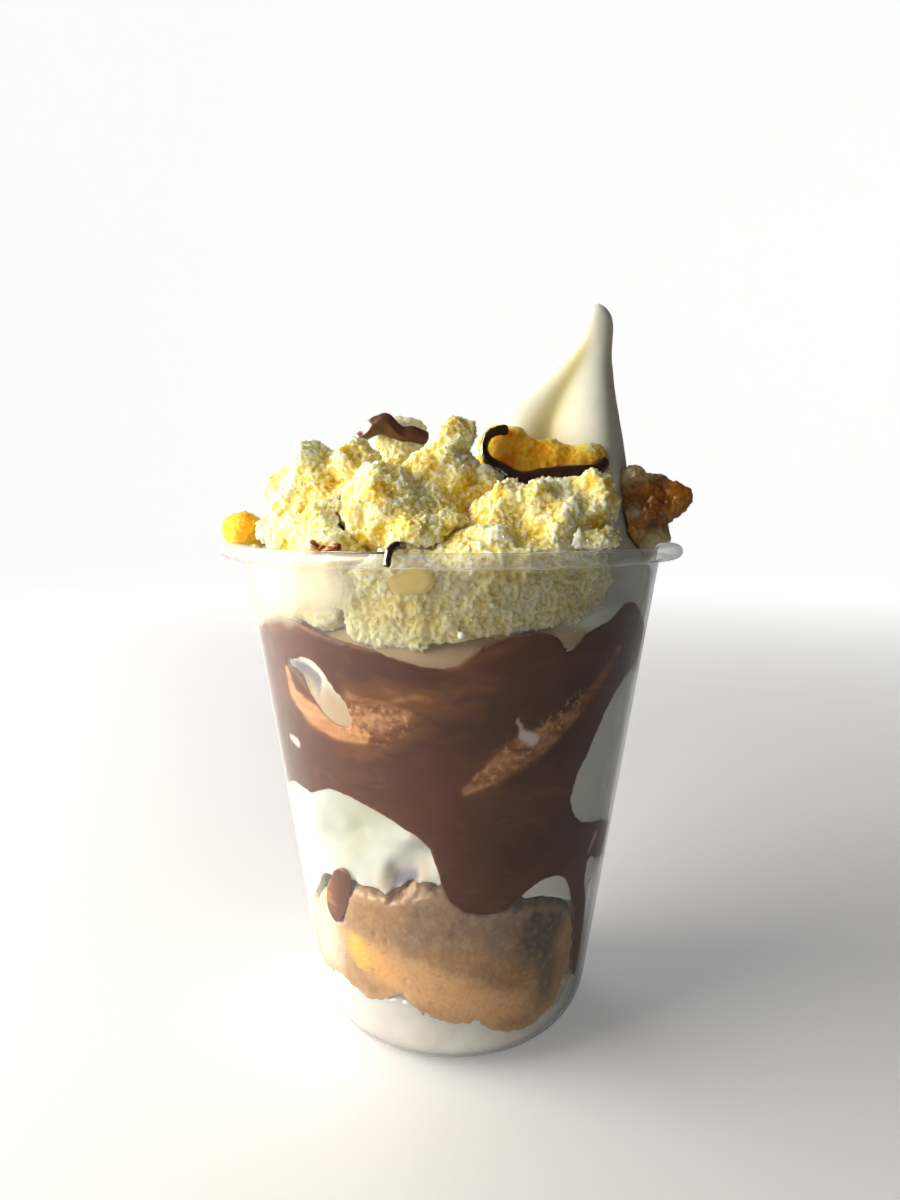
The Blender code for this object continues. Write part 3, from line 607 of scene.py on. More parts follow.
def chocolate_on_wall():
    """Chocolate sauce seen through the wall: milk brown, tan where it is thinned, with a lighter rounded edge."""
    made, tree, surface = new_material("chocolate sauce on the wall")
    place = add_node(tree, "TexCoord").node.outputs["Object"]
    thin = add_node(tree, "Attribute", attribute_name="thin").node.outputs["Fac"]
    crumbs = add_node(tree, "Attribute", attribute_name="crumbs").node.outputs["Fac"]
    clear = add_node(tree, "Attribute", attribute_name="clear").node.outputs["Fac"]
    cloud = add_node(tree, "TexNoise", {"Vector": place, "Scale": 1 / (14 * MM), "Detail": 2.0})
    share = add_node(tree, "MapRange", {0: cloud, 1: 0.35, 2: 0.65})
    colour = blend(tree, share, linear("#522E20"), linear("#613827"))
    wisps = add_node(tree, "Mapping", {"Vector": place, "Rotation": (0, 0.5, 0), "Scale": (1, 1, 2.5)})
    wisps = add_node(tree, "TexNoise", {"Vector": wisps, "Scale": 1 / (6 * MM), "Detail": 4.0, "Distortion": 0.6})
    uneven = add_node(tree, "MapRange", {0: wisps, 1: 0.25, 2: 0.75, 3: -0.3, 4: 0.3})
    thin = add_node(tree, "Math", {0: thin, 1: uneven}, operation="ADD")
    start = add_node(tree, "MapRange", {0: thin, 1: 0.05, 2: 0.6})
    colour = blend(tree, start, colour, linear("#84502F"))
    bright = add_node(tree, "MapRange", {0: thin, 1: 0.55, 2: 1.1})
    colour = blend(tree, bright, colour, linear("#D69C6C"))
    grain = add_node(tree, "TexNoise", {"Vector": place, "Scale": 1 / (1.1 * MM), "Detail": 3.0})
    bright = add_node(tree, "MapRange", {0: grain, 1: 0.52, 2: 0.68, 4: 0.75})
    bright = add_node(tree, "Math", {0: bright, 1: crumbs}, operation="MULTIPLY")
    colour = blend(tree, bright, colour, linear("#E0A872"))
    dark = add_node(tree, "MapRange", {0: grain, 1: 0.48, 2: 0.34, 4: 0.6})
    dark = add_node(tree, "Math", {0: dark, 1: crumbs}, operation="MULTIPLY")
    colour = blend(tree, dark, colour, linear("#6E4028"))
    colour = blend(tree, clear, colour, linear("#E2CFC4"))
    axes = add_node(tree, "SeparateXYZ", {0: place}).node
    level = add_node(tree, "CombineXYZ", {0: axes.outputs["X"], 1: axes.outputs["Y"]})
    outward = add_node(tree, "VectorMath", {0: level}, operation="NORMALIZE")
    skin = add_node(tree, "NewGeometry").node.outputs["Normal"]
    square = add_node(tree, "VectorMath", {0: skin, 1: outward}, operation="DOT_PRODUCT").node.outputs["Value"]
    edge = add_node(tree, "MapRange", {0: square, 1: 0.92, 2: 0.6, 4: 0.8})
    colour = blend(tree, edge, colour, linear("#A06A48"))
    bubbles = add_node(tree, "TexVoronoi", {"Vector": place, "Scale": 1 / (9 * MM)})
    bubble = add_node(tree, "MapRange", {0: bubbles, 1: 0.05, 2: 0.03, 4: 0.7})
    colour = blend(tree, bubble, colour, linear("#1C100C"))
    body = add_node(tree, "BsdfPrincipled", {
        "Base Color": colour, "Roughness": 0.4, "IOR": 1.45, "Specular IOR Level": 0.08,
    })
    tree.links.new(body, surface)
    return made


SAUCE_BITE = 0.35 * MM
wall_chocolate = chocolate_on_wall()
for node, name in (("chocolate_sauce", "sauce_on_wall"), ("chocolate_blob", "sauce_blob_on_wall")):
    film = copy_of(node, name)
    remesh(film, 0.52 * MM)
    apply_modifier(film, "SMOOTH", factor=0.5, iterations=6)
    press_to_wall(film, SAUCE_BITE, 0.75 * MM)
    paint(film, "thin", THIN_SAUCE)
    paint(film, "crumbs", CRUMBS_BEHIND)
    paint(film, "clear", CLEAR_SPOTS)
    hold(film, wall_chocolate, "chocolate", node)


# --- Torn sponge cake ----------------------------------------------------------------------------------
# Vanilla sponge torn by hand into rough pieces and heaped on the ice cream. Torn crumb is all lumps within
# lumps; its tips carry a painted highlight, and its hollows a painted yellow glow of light soaked through.

LUMPS = cells("torn lumps", 5.5 * MM, 1)
CLUSTERS = cells("crumb clusters", 3.0 * MM, 1)
CRUMBS = cells("single crumbs", 1.2 * MM, 1)
RAGS = bpy.data.textures.new("ragged tips", "CLOUDS")
RAGS.noise_basis = "ORIGINAL_PERLIN"
RAGS.noise_scale = 0.7 * MM
RAGS.noise_depth = 3


# Painted glow: places at the front where light glows yellow through the cake: x, z and radius in mm.
GLOWING = [
    (-22.5, 115, 3.6), (-13, 113, 3.2), (-10, 119, 3.0), (-8, 107.5, 3.4), (-16.5, 104.5, 3.0), (-27, 109.5, 3.4),
    (-0.5, 106, 3.0), (2.5, 114.5, 2.8), (8, 113, 2.6), (14, 106, 2.6), (24, 115, 2.6), (25, 107.5, 2.8),
    (-4, 118, 2.4), (-30, 103, 3.0), (-19, 110, 2.4),
]


def mark_glow(piece):
    """Stores how strongly each point takes the painted glow: full at the middle of each glowing place, at the front
    alone.
    """
    places = points_of(piece) / MM
    glow = np.zeros(len(places))
    for x, z, radius in GLOWING:
        away = np.hypot(places[:, 0] - x, places[:, 2] - z)
        glow = np.maximum(glow, np.exp(-(away / radius) ** 2))
    glow *= 1 - smooth_step(places[:, 1], 0, 14)
    marked = piece.data.attributes.new("glow", "FLOAT", "POINT")
    marked.data.foreach_set("value", glow.astype(np.float32))


def tear(piece, fine=0.28 * MM, roughness=1.0):
    """Gives a smooth lump the torn crumb of cake, from its lumps down to single crumbs."""
    remesh(piece, 0.7 * MM)
    relief(piece, LUMPS, -1.7 * MM * roughness)
    relief(piece, CLUSTERS, -1.3 * MM * roughness)
    remesh(piece, fine)
    relief(piece, CRUMBS, -0.8 * MM * roughness)
    relief(piece, RAGS, 1.6 * MM * roughness)
    press_to_wall(piece, 0.25 * MM)
    mark_relief(piece, "crumb", 12)
    mark_relief(piece, "hollow", 90)
    mark_glow(piece)


def sponge_crumb(name, tips, middle, hollows, glow, yellow_share, soak):
    """Open cake crumb: matt, with a painted highlight that makes its tips pale and painted yellow glow in its hollows.
    """
    made, tree, surface = new_material(name)
    place = add_node(tree, "TexCoord").node.outputs["Object"]
    crumb = add_node(tree, "Attribute", attribute_name="crumb").node.outputs["Fac"]
    hollow = add_node(tree, "Attribute", attribute_name="hollow").node.outputs["Fac"]
    patches = add_node(tree, "TexNoise", {"Vector": place, "Scale": 1 / (7 * MM), "Detail": 2.0})
    mottle = add_node(tree, "TexNoise", {"Vector": place, "Scale": 1 / (0.8 * MM), "Detail": 3.0})
    shift = add_node(tree, "MapRange", {0: patches, 1: 0.3, 2: 0.7, 3: -0.45, 4: 0.45})
    depth = add_node(tree, "Math", {0: hollow, 1: shift}, operation="ADD")
    # Painted yellow glow in the hollows, and painted highlight on the tips that stand out.
    painted_hollow_glow = add_node(tree, "MapRange", {0: depth, 1: 0.1, 2: -0.8, 4: yellow_share})
    tip = add_node(tree, "MapRange", {0: crumb, 1: -0.15, 2: 0.12})
    colour = blend(tree, tip, linear(middle), linear(tips))
    colour = blend(tree, painted_hollow_glow, colour, linear(hollows))
    glowing = add_node(tree, "Attribute", attribute_name="glow").node.outputs["Fac"]
    # Damp patches at random, with the painted glow at the glowing places, strongest where the crumb lies low.
    broad = add_node(tree, "TexNoise", {"Vector": place, "Scale": 1 / (8 * MM), "Detail": 2.0})
    moist_patches_and_painted_glow = add_node(tree, "MapRange", {0: broad, 1: 0.42, 2: 0.62, 4: 0.75})
    moist_patches_and_painted_glow = add_node(tree, "Math", {0: moist_patches_and_painted_glow, 1: glowing}, operation="MAXIMUM")
    low = add_node(tree, "MapRange", {0: crumb, 1: 0.25, 2: 0.0, 3: 0.7})
    moist_patches_and_painted_glow = add_node(tree, "Math", {0: moist_patches_and_painted_glow, 1: low}, operation="MULTIPLY")
    colour = blend(tree, moist_patches_and_painted_glow, colour, linear(hollows))
    speckle = add_node(tree, "MapRange", {0: mottle, 1: 0.45, 2: 0.7, 3: 0.0, 4: 0.3})
    colour = blend(tree, speckle, colour, linear(tips))
    bare = add_node(tree, "Attribute", attribute_name="bare").node.outputs["Fac"]
    colour = blend(tree, bare, colour, linear("#F8E9B4"))
    # Duller below the rim: partly syrup soaked into the crumb, partly painted shade on the crumb inside the cup.
    height = add_node(tree, "SeparateXYZ", {0: place}).node.outputs["Z"]
    syrup_and_painted_shade = add_node(tree, "MapRange", {0: height, 1: 105 * MM, 2: 99 * MM, 4: 0.45})
    colour = blend(tree, syrup_and_painted_shade, colour, linear("#E2CA8C"))
    bump = add_node(tree, "Bump", {"Height": mottle, "Strength": 0.4, "Distance": 0.2 * MM})
    body = add_node(tree, "BsdfPrincipled", {
        "Base Color": colour, "Roughness": 0.85, "IOR": 1.3, "Specular IOR Level": 0.2, "Normal": bump,
        "Subsurface Weight": 0.8, "Subsurface Radius": glow, "Subsurface Scale": soak,
    })
    tree.links.new(body, surface)
    return made


vanilla_sponge = sponge_crumb("torn vanilla sponge", "#FFFEE6", "#F8EE98", "#F2D010", (1.0, 0.95, 0.4), 0.3, 2.6 * MM)
SPONGE_NODES = [node for node in sorted(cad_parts) if node.startswith("sponge_")]
SPONGE_NODES += ["small_crumb_right", "white_crumb_left", "pale_cake_piece"]
torn_pieces = []
for node in SPONGE_NODES:
    chunk = copy_of(node, "torn_" + node)
    tear(chunk)
    hold(chunk, vanilla_sponge, "sponge", node)
    torn_pieces.append(chunk)

PALE_TOP = [(12, 126.6, 1.1), (15, 125.6, 1.2), (18, 124.8, 1.1), (21, 124.1, 1.3), (24, 123.3, 1.1), (27, 122.5, 1.2)]


def mark_spots(piece, name, spots):
    """Stores how near each point is to the middle of the nearest spot, seen from the front."""
    places = points_of(piece) / MM
    near = np.zeros(len(places))
    for x, z, radius in spots:
        near = np.maximum(near, np.exp(-(np.hypot(places[:, 0] - x, places[:, 2] - z) / radius) ** 2))
    marked = piece.data.attributes.new(name, "FLOAT", "POINT")
    marked.data.foreach_set("value", near.astype(np.float32))


golden_crumb = sponge_crumb("orange sponge crumb", "#FFD050", "#FFC224", "#FFAA08", (1.0, 0.8, 0.15), 0.9, 5 * MM)
for node in ("golden_sponge", "orange_crumb"):
    chunk = copy_of(node, "torn_" + node)
    apply_modifier(chunk, "DISPLACE", strength=0.8 * MM, mid_level=0.0)
    if node == "golden_sponge":
        # Its left end reaches the sauce that runs down beside it.
        places = points_of(chunk)
        places[:, 0] -= 1.8 * MM * (1 - smooth_step(places[:, 0], 11 * MM, 17 * MM))
        move_points(chunk, places)
    tear(chunk, 0.3 * MM, 0.65 if node == "golden_sponge" else 0.8)
    mark_spots(chunk, "bare", PALE_TOP)
    hold(chunk, golden_crumb, "golden_sponge", node)


# --- Caramelised crust ---------------------------------------------------------------------------------
# The baked outside of the cake, stuck together with caramel: sticky amber to dark brown, lumpy, and pale
# where the crumb shows through at its top and its foot.

def caramel_crust():
    """Sticky caramelised cake: dark in its hollows, amber on its lumps and glossy where caramel lies."""
    made, tree, surface = new_material("caramelised cake crust")
    place = add_node(tree, "TexCoord").node.outputs["Object"]
    axes = add_node(tree, "SeparateXYZ", {0: place}).node
    hollow = add_node(tree, "Attribute", attribute_name="hollow").node.outputs["Fac"]
    crumb = add_node(tree, "Attribute", attribute_name="crumb").node.outputs["Fac"]
    patches = add_node(tree, "TexNoise", {"Vector": place, "Scale": 1 / (4 * MM), "Detail": 3.0})
    amber = add_node(tree, "MapRange", {0: patches, 1: 0.38, 2: 0.62})
    colour = blend(tree, amber, linear("#8A4408"), linear("#CC801C"))
    deep = add_node(tree, "MapRange", {0: hollow, 1: 0.1, 2: -0.7, 4: 0.85})
    colour = blend(tree, deep, colour, linear("#2E1408"))
    high = add_node(tree, "MapRange", {0: axes.outputs["Z"], 1: 114.5 * MM, 2: 118.5 * MM})
    dry = add_node(tree, "MapRange", {0: patches, 1: 0.62, 2: 0.45})
    pale = add_node(tree, "Math", {0: high, 1: dry}, operation="MULTIPLY")
    tip = add_node(tree, "MapRange", {0: crumb, 1: 0.08, 2: 0.24, 4: 0.25})
    pale = add_node(tree, "Math", {0: pale, 1: tip}, operation="ADD", use_clamp=True)
    colour = blend(tree, pale, colour, linear("#E3C48C"))
    bare = add_node(tree, "Attribute", attribute_name="bare").node.outputs["Fac"]
    bare = add_node(tree, "Math", {0: bare, 1: add_node(tree, "MapRange", {0: patches, 1: 0.3, 2: 0.5})}, operation="MULTIPLY")
    colour = blend(tree, bare, colour, linear("#F0E0B4"))
    rough = add_node(tree, "MapRange", {0: patches, 1: 0.35, 2: 0.65, 3: 0.5, 4: 0.25})
    body = add_node(tree, "BsdfPrincipled", {
        "Base Color": colour, "Roughness": rough, "IOR": 1.45,
        "Subsurface Weight": 0.3, "Subsurface Radius": (1.0, 0.4, 0.1), "Subsurface Scale": 1.5 * MM,
    })
    tree.links.new(body, surface)
    return made


# Where the crust's crumb lies bare: x, z and radius in mm.
BARE_CRUMB = [(35, 117.2, 2.8), (38.5, 118, 1.6), (41, 102.5, 3.2), (44, 105, 2.4), (36.5, 109.5, 1.3)]


crust = copy_of("brown_crust", "caramel_crust")
tear(crust, 0.3 * MM, 0.7)
mark_spots(crust, "bare", BARE_CRUMB)
hold(crust, caramel_crust(), "crust", "brown_crust")


# --- Sauce on the crown --------------------------------------------------------------------------------
# Chocolate sauce spooned over the cake. It is thick, so it stands in rounded ropes with a wet gloss.

def thick_chocolate(name, deep, warm):
    """Thick chocolate sauce: near black with a warm brown where light gets in, and a wet coat."""
    made, tree, surface = new_material(name)
    place = add_node(tree, "TexCoord").node.outputs["Object"]
    drift = add_node(tree, "TexNoise", {"Vector": place, "Scale": 1 / (2.5 * MM), "Detail": 2.0})
    colour = blend(tree, drift, linear(deep), linear(warm))
    bump = add_node(tree, "Bump", {"Height": drift, "Strength": 0.35, "Distance": 0.4 * MM})
    body = add_node(tree, "BsdfPrincipled", {
        "Base Color": colour, "Roughness": 0.22, "IOR": 1.47, "Normal": bump,
        "Coat Weight": 0.3, "Coat Roughness": 0.12,
    })
    tree.links.new(body, surface)
    return made


def thin_coat(piece, until, depth):
    """Draws a piece in by up to a depth on the left of an x."""
    places = points_of(piece)
    normals = np.empty(len(piece.data.vertices) * 3, np.float32)
    piece.data.vertex_normals.foreach_get("vector", normals)
    share = 1 - smooth_step(places[:, 0], until - 4 * MM, until)
    move_points(piece, places - normals.reshape(-1, 3) * (share * depth)[:, None])


def pull(piece, moves):
    """Pulls what is near each place (x, z) by (dx, dz) within a radius, all in mm, seen from the front."""
    places = points_of(piece)
    for x, z, radius, dx, dz in moves:
        away = np.hypot(places[:, 0] / MM - x, places[:, 2] / MM - z) / radius
        share = np.exp(-away**2)
        places[:, 0] += share * dx * MM
        places[:, 2] += share * dz * MM
    move_points(piece, places)


# The left rope's own waves: x, z, reach and pull, in mm.
LEFT_WAVES = [(-19, 127, 2.2, 0, -1.2), (-14, 128.5, 1.8, 0, 1.0), (-10.5, 127, 1.8, 0, -1.3), (-6.5, 126, 2.0, 0, -0.4)]
crown_chocolate = thick_chocolate("thick chocolate sauce", "#2C1A13", "#4E3124")
spread_chocolate = thick_chocolate("spread chocolate sauce", "#4A2E22", "#7A523E")
POURED = cells("poured ripples", 4 * MM, 1)
for node in ("chocolate_ribbon_right", "chocolate_ribbon_left", "chocolate_drip"):
    rope = copy_of(node, "poured_" + node)
    remesh(rope, 0.28 * MM)
    apply_modifier(rope, "SMOOTH", factor=0.5, iterations=4)
    swell = (0.1 if node == "chocolate_drip" else 0.5) * MM
    apply_modifier(rope, "DISPLACE", texture=POURED, texture_coords="LOCAL", strength=swell, mid_level=0.2)
    if node == "chocolate_ribbon_left":
        pull(rope, LEFT_WAVES)
    if node == "chocolate_ribbon_right":
        # Left of the slice the sauce is only a thin coat: thin there, and thick in the pool below the slice.
        thin_coat(rope, 11 * MM, 0.55 * MM)
    hold(rope, spread_chocolate if node == "chocolate_ribbon_left" else crown_chocolate, "chocolate", node)


# --- Loose crumbs --------------------------------------------------------------------------------------
# Single crumbs that tearing has left on the cake: angular grains under a millimetre across.

def scatter(name, beds, per_square_mm, grain, seed, material, slot):
    """Loose grains on the given pieces, as one mesh: angular balls, each turned and sized at random."""
    meshes = [bed.data for bed in beds]
    rng = np.random.default_rng(seed)
    bpy.ops.object.select_all(action="DESELECT")
    bpy.ops.mesh.primitive_ico_sphere_add(subdivisions=1, radius=1.0)
    pattern = bpy.context.object
    ball = points_of(pattern).astype(np.float64)
    faces = np.array([face.vertices[:] for face in pattern.data.polygons])
    bpy.data.objects.remove(pattern)
    grains = []
    for mesh in meshes:
        mesh.calc_loop_triangles()
        corners = np.empty(len(mesh.loop_triangles) * 3, np.int32)
        mesh.loop_triangles.foreach_get("vertices", corners)
        places = np.empty(len(mesh.vertices) * 3, np.float32)
        mesh.vertices.foreach_get("co", places)
        triangles = places.reshape(-1, 3)[corners.reshape(-1, 3)].astype(np.float64)
        across = np.cross(triangles[:, 1] - triangles[:, 0], triangles[:, 2] - triangles[:, 0])
        area = np.linalg.norm(across, axis=1) / 2
        count = int(area.sum() / MM**2 * per_square_mm)
        picked = rng.choice(len(area), count, p=area / area.sum())
        share = np.sort(rng.random((count, 2)), axis=1)
        weights = np.stack([share[:, 0], share[:, 1] - share[:, 0], 1 - share[:, 1]], axis=1)
        spots = np.einsum("ij,ijk->ik", weights, triangles[picked])
        spots += across[picked] / (2 * area[picked, None]) * grain * 0.35
        grains.append(spots)
    spots = np.concatenate(grains)
    turns, _ = np.linalg.qr(rng.normal(size=(len(spots), 3, 3)))
    sizes = grain * rng.uniform(0.5, 1.0, (len(spots), 1, 1)) * rng.uniform(0.6, 1.2, (len(spots), 1, 3))
    rough = ball[None] * (1 + 0.25 * rng.normal(size=(len(spots), len(ball), 1)))
    corners = np.einsum("ijk,ilk->ijl", rough * sizes, turns) + spots[:, None]
    turned_in = np.linalg.det(turns) < 0
    indices = faces[None] + (np.arange(len(spots)) * len(ball))[:, None, None]
    indices[turned_in] = indices[turned_in][:, :, ::-1]
    mesh = bpy.data.meshes.new(name)
    mesh.from_pydata(corners.reshape(-1, 3).tolist(), [], indices.reshape(-1, 3).tolist())
    piece = bpy.data.objects.new(name, mesh)
    bpy.context.scene.collection.objects.link(piece)
    press_to_wall(piece, 0.2 * MM)
    hold(piece, material, slot)
    return piece


def dry_crumb():
    """Single crumbs: too small for light to soak into, so plain matt cream."""
    made, tree, surface = new_material("dry sponge crumbs")
    place = add_node(tree, "TexCoord").node.outputs["Object"]
    mottle = add_node(tree, "TexNoise", {"Vector": place, "Scale": 1 / (1.5 * MM), "Detail": 1.0})
    share = add_node(tree, "MapRange", {0: mottle, 1: 0.35, 2: 0.65})
    colour = blend(tree, share, linear("#F4E7AC"), linear("#FFFCEA"))
    body = add_node(tree, "BsdfPrincipled", {"Base Color": colour, "Roughness": 0.9, "IOR": 1.3})
    tree.links.new(body, surface)
    return made


scatter("loose_crumbs", torn_pieces, 0.16, 0.28 * MM, 11, dry_crumb(), "sponge")


# --- Films on the wall ---------------------------------------------------------------------------------
# Melted ice cream smeared over the inside of the wall at the left, and a flat oval of syrupy cake near the
# front. Both are thin enough to see through at their edges. A droplet of milk has dried beside them.

def milky_film(name, tint):
    """A thin wet film, opaque in its middle and running out to nothing at its edge."""
    made, tree, surface = new_material(name)
    place = add_node(tree, "TexCoord").node.outputs["Object"]
    cover = add_node(tree, "Attribute", attribute_name="cover").node.outputs["Fac"]
    drift = add_node(tree, "TexNoise", {"Vector": place, "Scale": 1 / (6 * MM), "Detail": 3.0})
    uneven = add_node(tree, "MapRange", {0: drift, 1: 0.25, 2: 0.75, 3: -0.15, 4: 0.15})
    cover = add_node(tree, "Math", {0: cover, 1: uneven}, operation="ADD")
    cover = add_node(tree, "MapRange", {0: cover, 1: 0.2, 2: 1.0, 4: 0.92})
    clear = add_node(tree, "BsdfTransparent", {0: linear("#FFFFFF")})
    body = add_node(tree, "BsdfPrincipled", {"Base Color": linear(tint), "Roughness": 0.4, "IOR": 1.36})
    whole = add_node(tree, "MixShader", {0: cover, 1: clear, 2: body})
    tree.links.new(whole, surface)
    return made


def film_on_wall(name, strokes, material, slot, steps=(90, 50)):
    """A thin film against the wall, under the strokes. It stands in the wall's clear skin."""
    angles = [point[0] for _, _, path in strokes for point in path]
    heights = [point[1] for _, _, path in strokes for point in path]
    low, high = min(angles) - 12, max(angles) + 12
    bottom, top = min(heights) - 8, min(max(heights) + 8, 101.5)
    bpy.ops.object.select_all(action="DESELECT")
    bpy.ops.mesh.primitive_grid_add(x_subdivisions=steps[0], y_subdivisions=steps[1], size=2)
    film = bpy.context.object
    film.name = film.data.name = name
    places = points_of(film).astype(np.float64)
    turn = np.radians(low + (high - low) * (places[:, 0] + 1) / 2)
    height = (bottom + (top - bottom) * (places[:, 1] + 1) / 2) * MM
    radius = wall_radius(height) + 0.45 * MM
    move_points(film, np.stack([radius * np.sin(turn), -radius * np.cos(turn), height], axis=1))
    paint(film, "cover", strokes)
    cover = np.empty(len(film.data.vertices), np.float32)
    film.data.attributes["cover"].data.foreach_get("value", cover)
    choose(film)
    bpy.ops.object.mode_set(mode="EDIT")
    bpy.ops.mesh.select_all(action="DESELECT")
    bpy.ops.object.mode_set(mode="OBJECT")
    film.data.vertices.foreach_set("select", cover < 0.01)
    bpy.ops.object.mode_set(mode="EDIT")
    bpy.ops.mesh.delete(type="VERT")
    bpy.ops.object.mode_set(mode="OBJECT")
    apply_modifier(film, "SOLIDIFY", thickness=0.12 * MM, offset=0.0)
    bpy.ops.object.shade_smooth()
    hold(film, material, slot)


CREAM_SMEAR = [(0.95, 0.5, [(-84, 96, 7), (-60, 96.5, 7), (-48, 97.5, 7)]), (0.75, 0.8, [(-48, 97.5, 7), (-35, 97.5, 6)])]
film_on_wall("melted_smear", CREAM_SMEAR, milky_film("melted ice cream smear", "#F0E4C2"), "ice_cream")
SYRUP_OVAL = [(1.0, 0.5, [(-12, 97.6, 1.8), (-8, 98.4, 2.4)])]
film_on_wall("syrup_oval", SYRUP_OVAL, milky_film("syrup-soaked crumb film", "#E2C676"), "sponge", (60, 60))

bpy.ops.object.select_all(action="DESELECT")
bpy.ops.mesh.primitive_uv_sphere_add(segments=24, ring_count=16, radius=0.65 * MM)
droplet = bpy.context.object
droplet.name = droplet.data.name = "milk_droplet"
droplet_turn, droplet_height = math.radians(2), 89 * MM
droplet_radius = float(wall_radius(np.array([droplet_height]))[0]) + 0.3 * MM
droplet.location = (droplet_radius * math.sin(droplet_turn), -droplet_radius * math.cos(droplet_turn), droplet_height)
bpy.ops.object.transform_apply(location=True, rotation=True, scale=True)
bpy.ops.object.shade_smooth()
hold(droplet, ice_cream, "ice_cream")


# --- Small bits ----------------------------------------------------------------------------------------
# Flakes of brown crust that lie on the rim at the left, a line of sauce along the rim's top that the hook
# of sauce ends, and a pale crumb behind the sauce on the crown.

def lump(name, place, size, turn=0.0, rounds=4):
    """A small ball at a place, with its own sizes along x, y and z, all in mm."""
    bpy.ops.object.select_all(action="DESELECT")
    bpy.ops.mesh.primitive_ico_sphere_add(subdivisions=rounds, radius=MM, location=[c * MM for c in place])
    piece = bpy.context.object
    piece.name = piece.data.name = name
    piece.scale = size
    piece.rotation_euler = (0, math.radians(turn), 0)
    bpy.ops.object.transform_apply(location=True, rotation=True, scale=True)
    bpy.ops.object.shade_smooth()
    return piece


CHIPS = [
    ((-22.7, -40.5, 104.0), (1.5, 0.5, 0.5), 38), ((-21.6, -41.0, 103.6), (0.8, 0.6, 0.35), -15),
    ((-20.0, -41.6, 103.5), (1.5, 0.7, 0.45), -8), ((-19.0, -42.0, 103.8), (0.7, 0.5, 0.7), 20),
]
chip_rng = np.random.default_rng(5)
for index, (place, size, turn) in enumerate(CHIPS):
    flake = lump(f"crust_flake_{index + 1}", place, size, turn, 2)
    jitter = chip_rng.normal(size=(len(flake.data.vertices), 3)) * 0.16 * MM
    move_points(flake, points_of(flake) + jitter)
    hold(flake, crust.data.materials[0], "crust")

behind = lump("torn_crumb_behind_sauce", (-11.3, 8.0, 127.6), (6.0, 3.2, 2.5))
tear(behind, 0.3 * MM, 0.6)
hold(behind, vanilla_sponge, "sponge")

bpy.ops.object.select_all(action="DESELECT")
bpy.ops.mesh.primitive_torus_add(major_radius=RIM_RADIUS - 1.0 * MM, minor_radius=0.2 * MM, major_segments=360,
                                 minor_segments=12, location=(0, 0, CUP_HEIGHT + 0.0 * MM))
line = bpy.context.object
line.name = line.data.name = "sauce_line_on_rim"
bpy.ops.object.mode_set(mode="EDIT")
for degrees, keep_right in ((-28.0, True), (-12.5, False)):
    cut = math.radians(degrees)
    side = 1 if keep_right else -1
    bpy.ops.mesh.select_all(action="SELECT")
    bpy.ops.mesh.bisect(plane_co=(0, 0, CUP_HEIGHT), plane_no=(side * math.cos(cut), side * math.sin(cut), 0),
                        clear_inner=True, use_fill=True)
bpy.ops.mesh.select_all(action="SELECT")
bpy.ops.mesh.bisect(plane_co=(0, 0, CUP_HEIGHT), plane_no=(0, -1, 0), clear_inner=True, use_fill=True)
bpy.ops.mesh.select_all(action="SELECT")
bpy.ops.mesh.normals_make_consistent(inside=False)
bpy.ops.object.mode_set(mode="OBJECT")
bpy.ops.object.transform_apply(location=True, rotation=True, scale=True)
bpy.ops.object.shade_smooth()
hold(line, crown_chocolate, "chocolate")


# --- Stage, light and camera ---------------------------------------------------------------------------
# A pale table that curves up all round into a pale wall, a large soft window to the left, and a little sky
# light from behind. The rest of the room is dim, so the right side of the cup lies in its own shade.

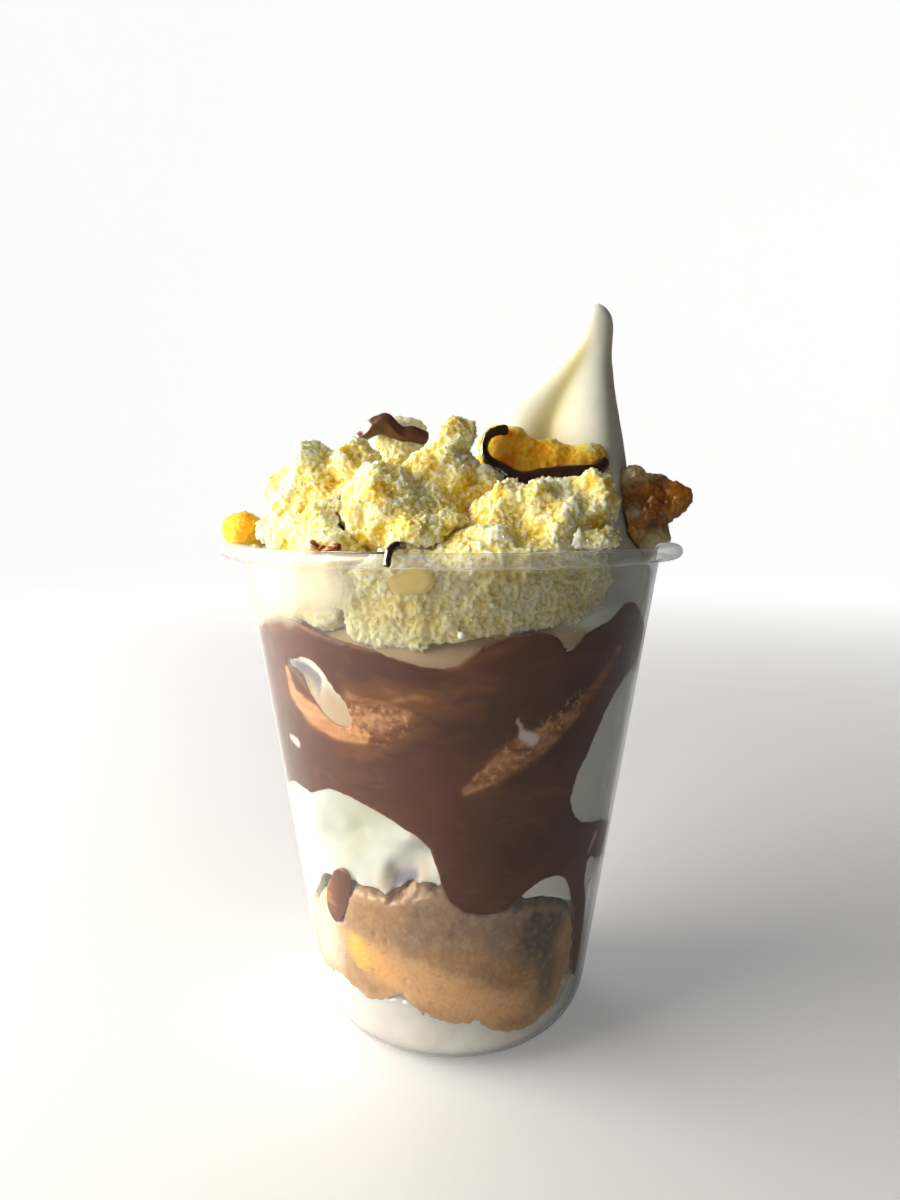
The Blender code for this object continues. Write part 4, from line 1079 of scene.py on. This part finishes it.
def studio_paper():
    """Matt pale paper, which its own lamps make white towards the wall. Their light stays on the paper."""
    made, tree, surface = new_material("pale studio paper")
    place = add_node(tree, "TexCoord").node.outputs["Object"]
    distance = add_node(tree, "VectorMath", {0: place}, operation="LENGTH").node.outputs["Value"]
    lit = add_node(tree, "MapRange", {0: distance, 1: 0.05, 2: 1.1, 3: 0.20, 4: 0.93},
                   interpolation_type="SMOOTHSTEP")
    seen = add_node(tree, "LightPath").node.outputs["Is Camera Ray"]
    strength = add_node(tree, "Math", {0: lit, 1: seen}, operation="MULTIPLY")
    body = add_node(tree, "BsdfPrincipled", {
        "Base Color": linear("#CACAC9"), "Roughness": 0.8,
        "Emission Color": linear("#FFFFFF"), "Emission Strength": strength,
    })
    tree.links.new(body, surface)
    return made


PAPER_REACH = 1.8
PAPER_CURVE = 0.9
paper_profile = [(0.2, 0.0), (0.6, 0.0)]
for step in range(13):
    turn = math.pi / 2 * step / 12
    paper_profile.append((PAPER_REACH + PAPER_CURVE * math.sin(turn), PAPER_CURVE * (1 - math.cos(turn))))
paper_profile.append((PAPER_REACH + PAPER_CURVE, 2.6))
paper = draw_out("studio_paper", paper_profile, 96, capped=False)
paper.data.materials.append(studio_paper())


def soft_light(name, place, target, size, power, colour, spread=180):
    """A square soft light at a place, turned to a target, whose light spreads by so many degrees."""
    lamp = bpy.data.lights.new(name, "AREA")
    lamp.spread = math.radians(spread)
    lamp.size = size
    lamp.energy = power
    lamp.color = linear(colour)[:3]
    holder = bpy.data.objects.new(name, lamp)
    holder.location = place
    holder.visible_camera = False
    holder.rotation_euler = (Vector(target) - Vector(place)).to_track_quat("-Z", "Y").to_euler()
    bpy.context.scene.collection.objects.link(holder)
    return holder


soft_light("window", (-0.48, -0.13, 0.25), (0, 0, 0.08), 0.50, 6.0, "#FFFAF0")
soft_light("sky behind", (-0.35, 0.55, 0.60), (0, 0, 0.09), 0.40, 1.6, "#F4F8FF")
glare = soft_light("window glare", (-0.60, -0.08, 0.22), (0, 0, 0.06), 0.94, 58, "#FFEEE0")
glare.visible_diffuse = glare.visible_transmission = False
world = bpy.data.worlds.new("pale room")
world.use_nodes = True
world.node_tree.nodes["Background"].inputs["Color"].default_value = linear("#F2F4F6")
world.node_tree.nodes["Background"].inputs["Strength"].default_value = 0.07
bpy.context.scene.world = world
bpy.context.scene.view_settings.view_transform = "Standard"

lens = bpy.data.cameras.new("camera")
lens.lens = 25.5
lens.sensor_width = 36
lens.clip_start = 0.01
camera = bpy.data.objects.new("camera", lens)
camera.location = (-0.00045, -0.1814, 0.11005)
camera.rotation_euler = (math.radians(90 - 6.13), 0, 0)
bpy.context.scene.collection.objects.link(camera)
bpy.context.scene.camera = camera
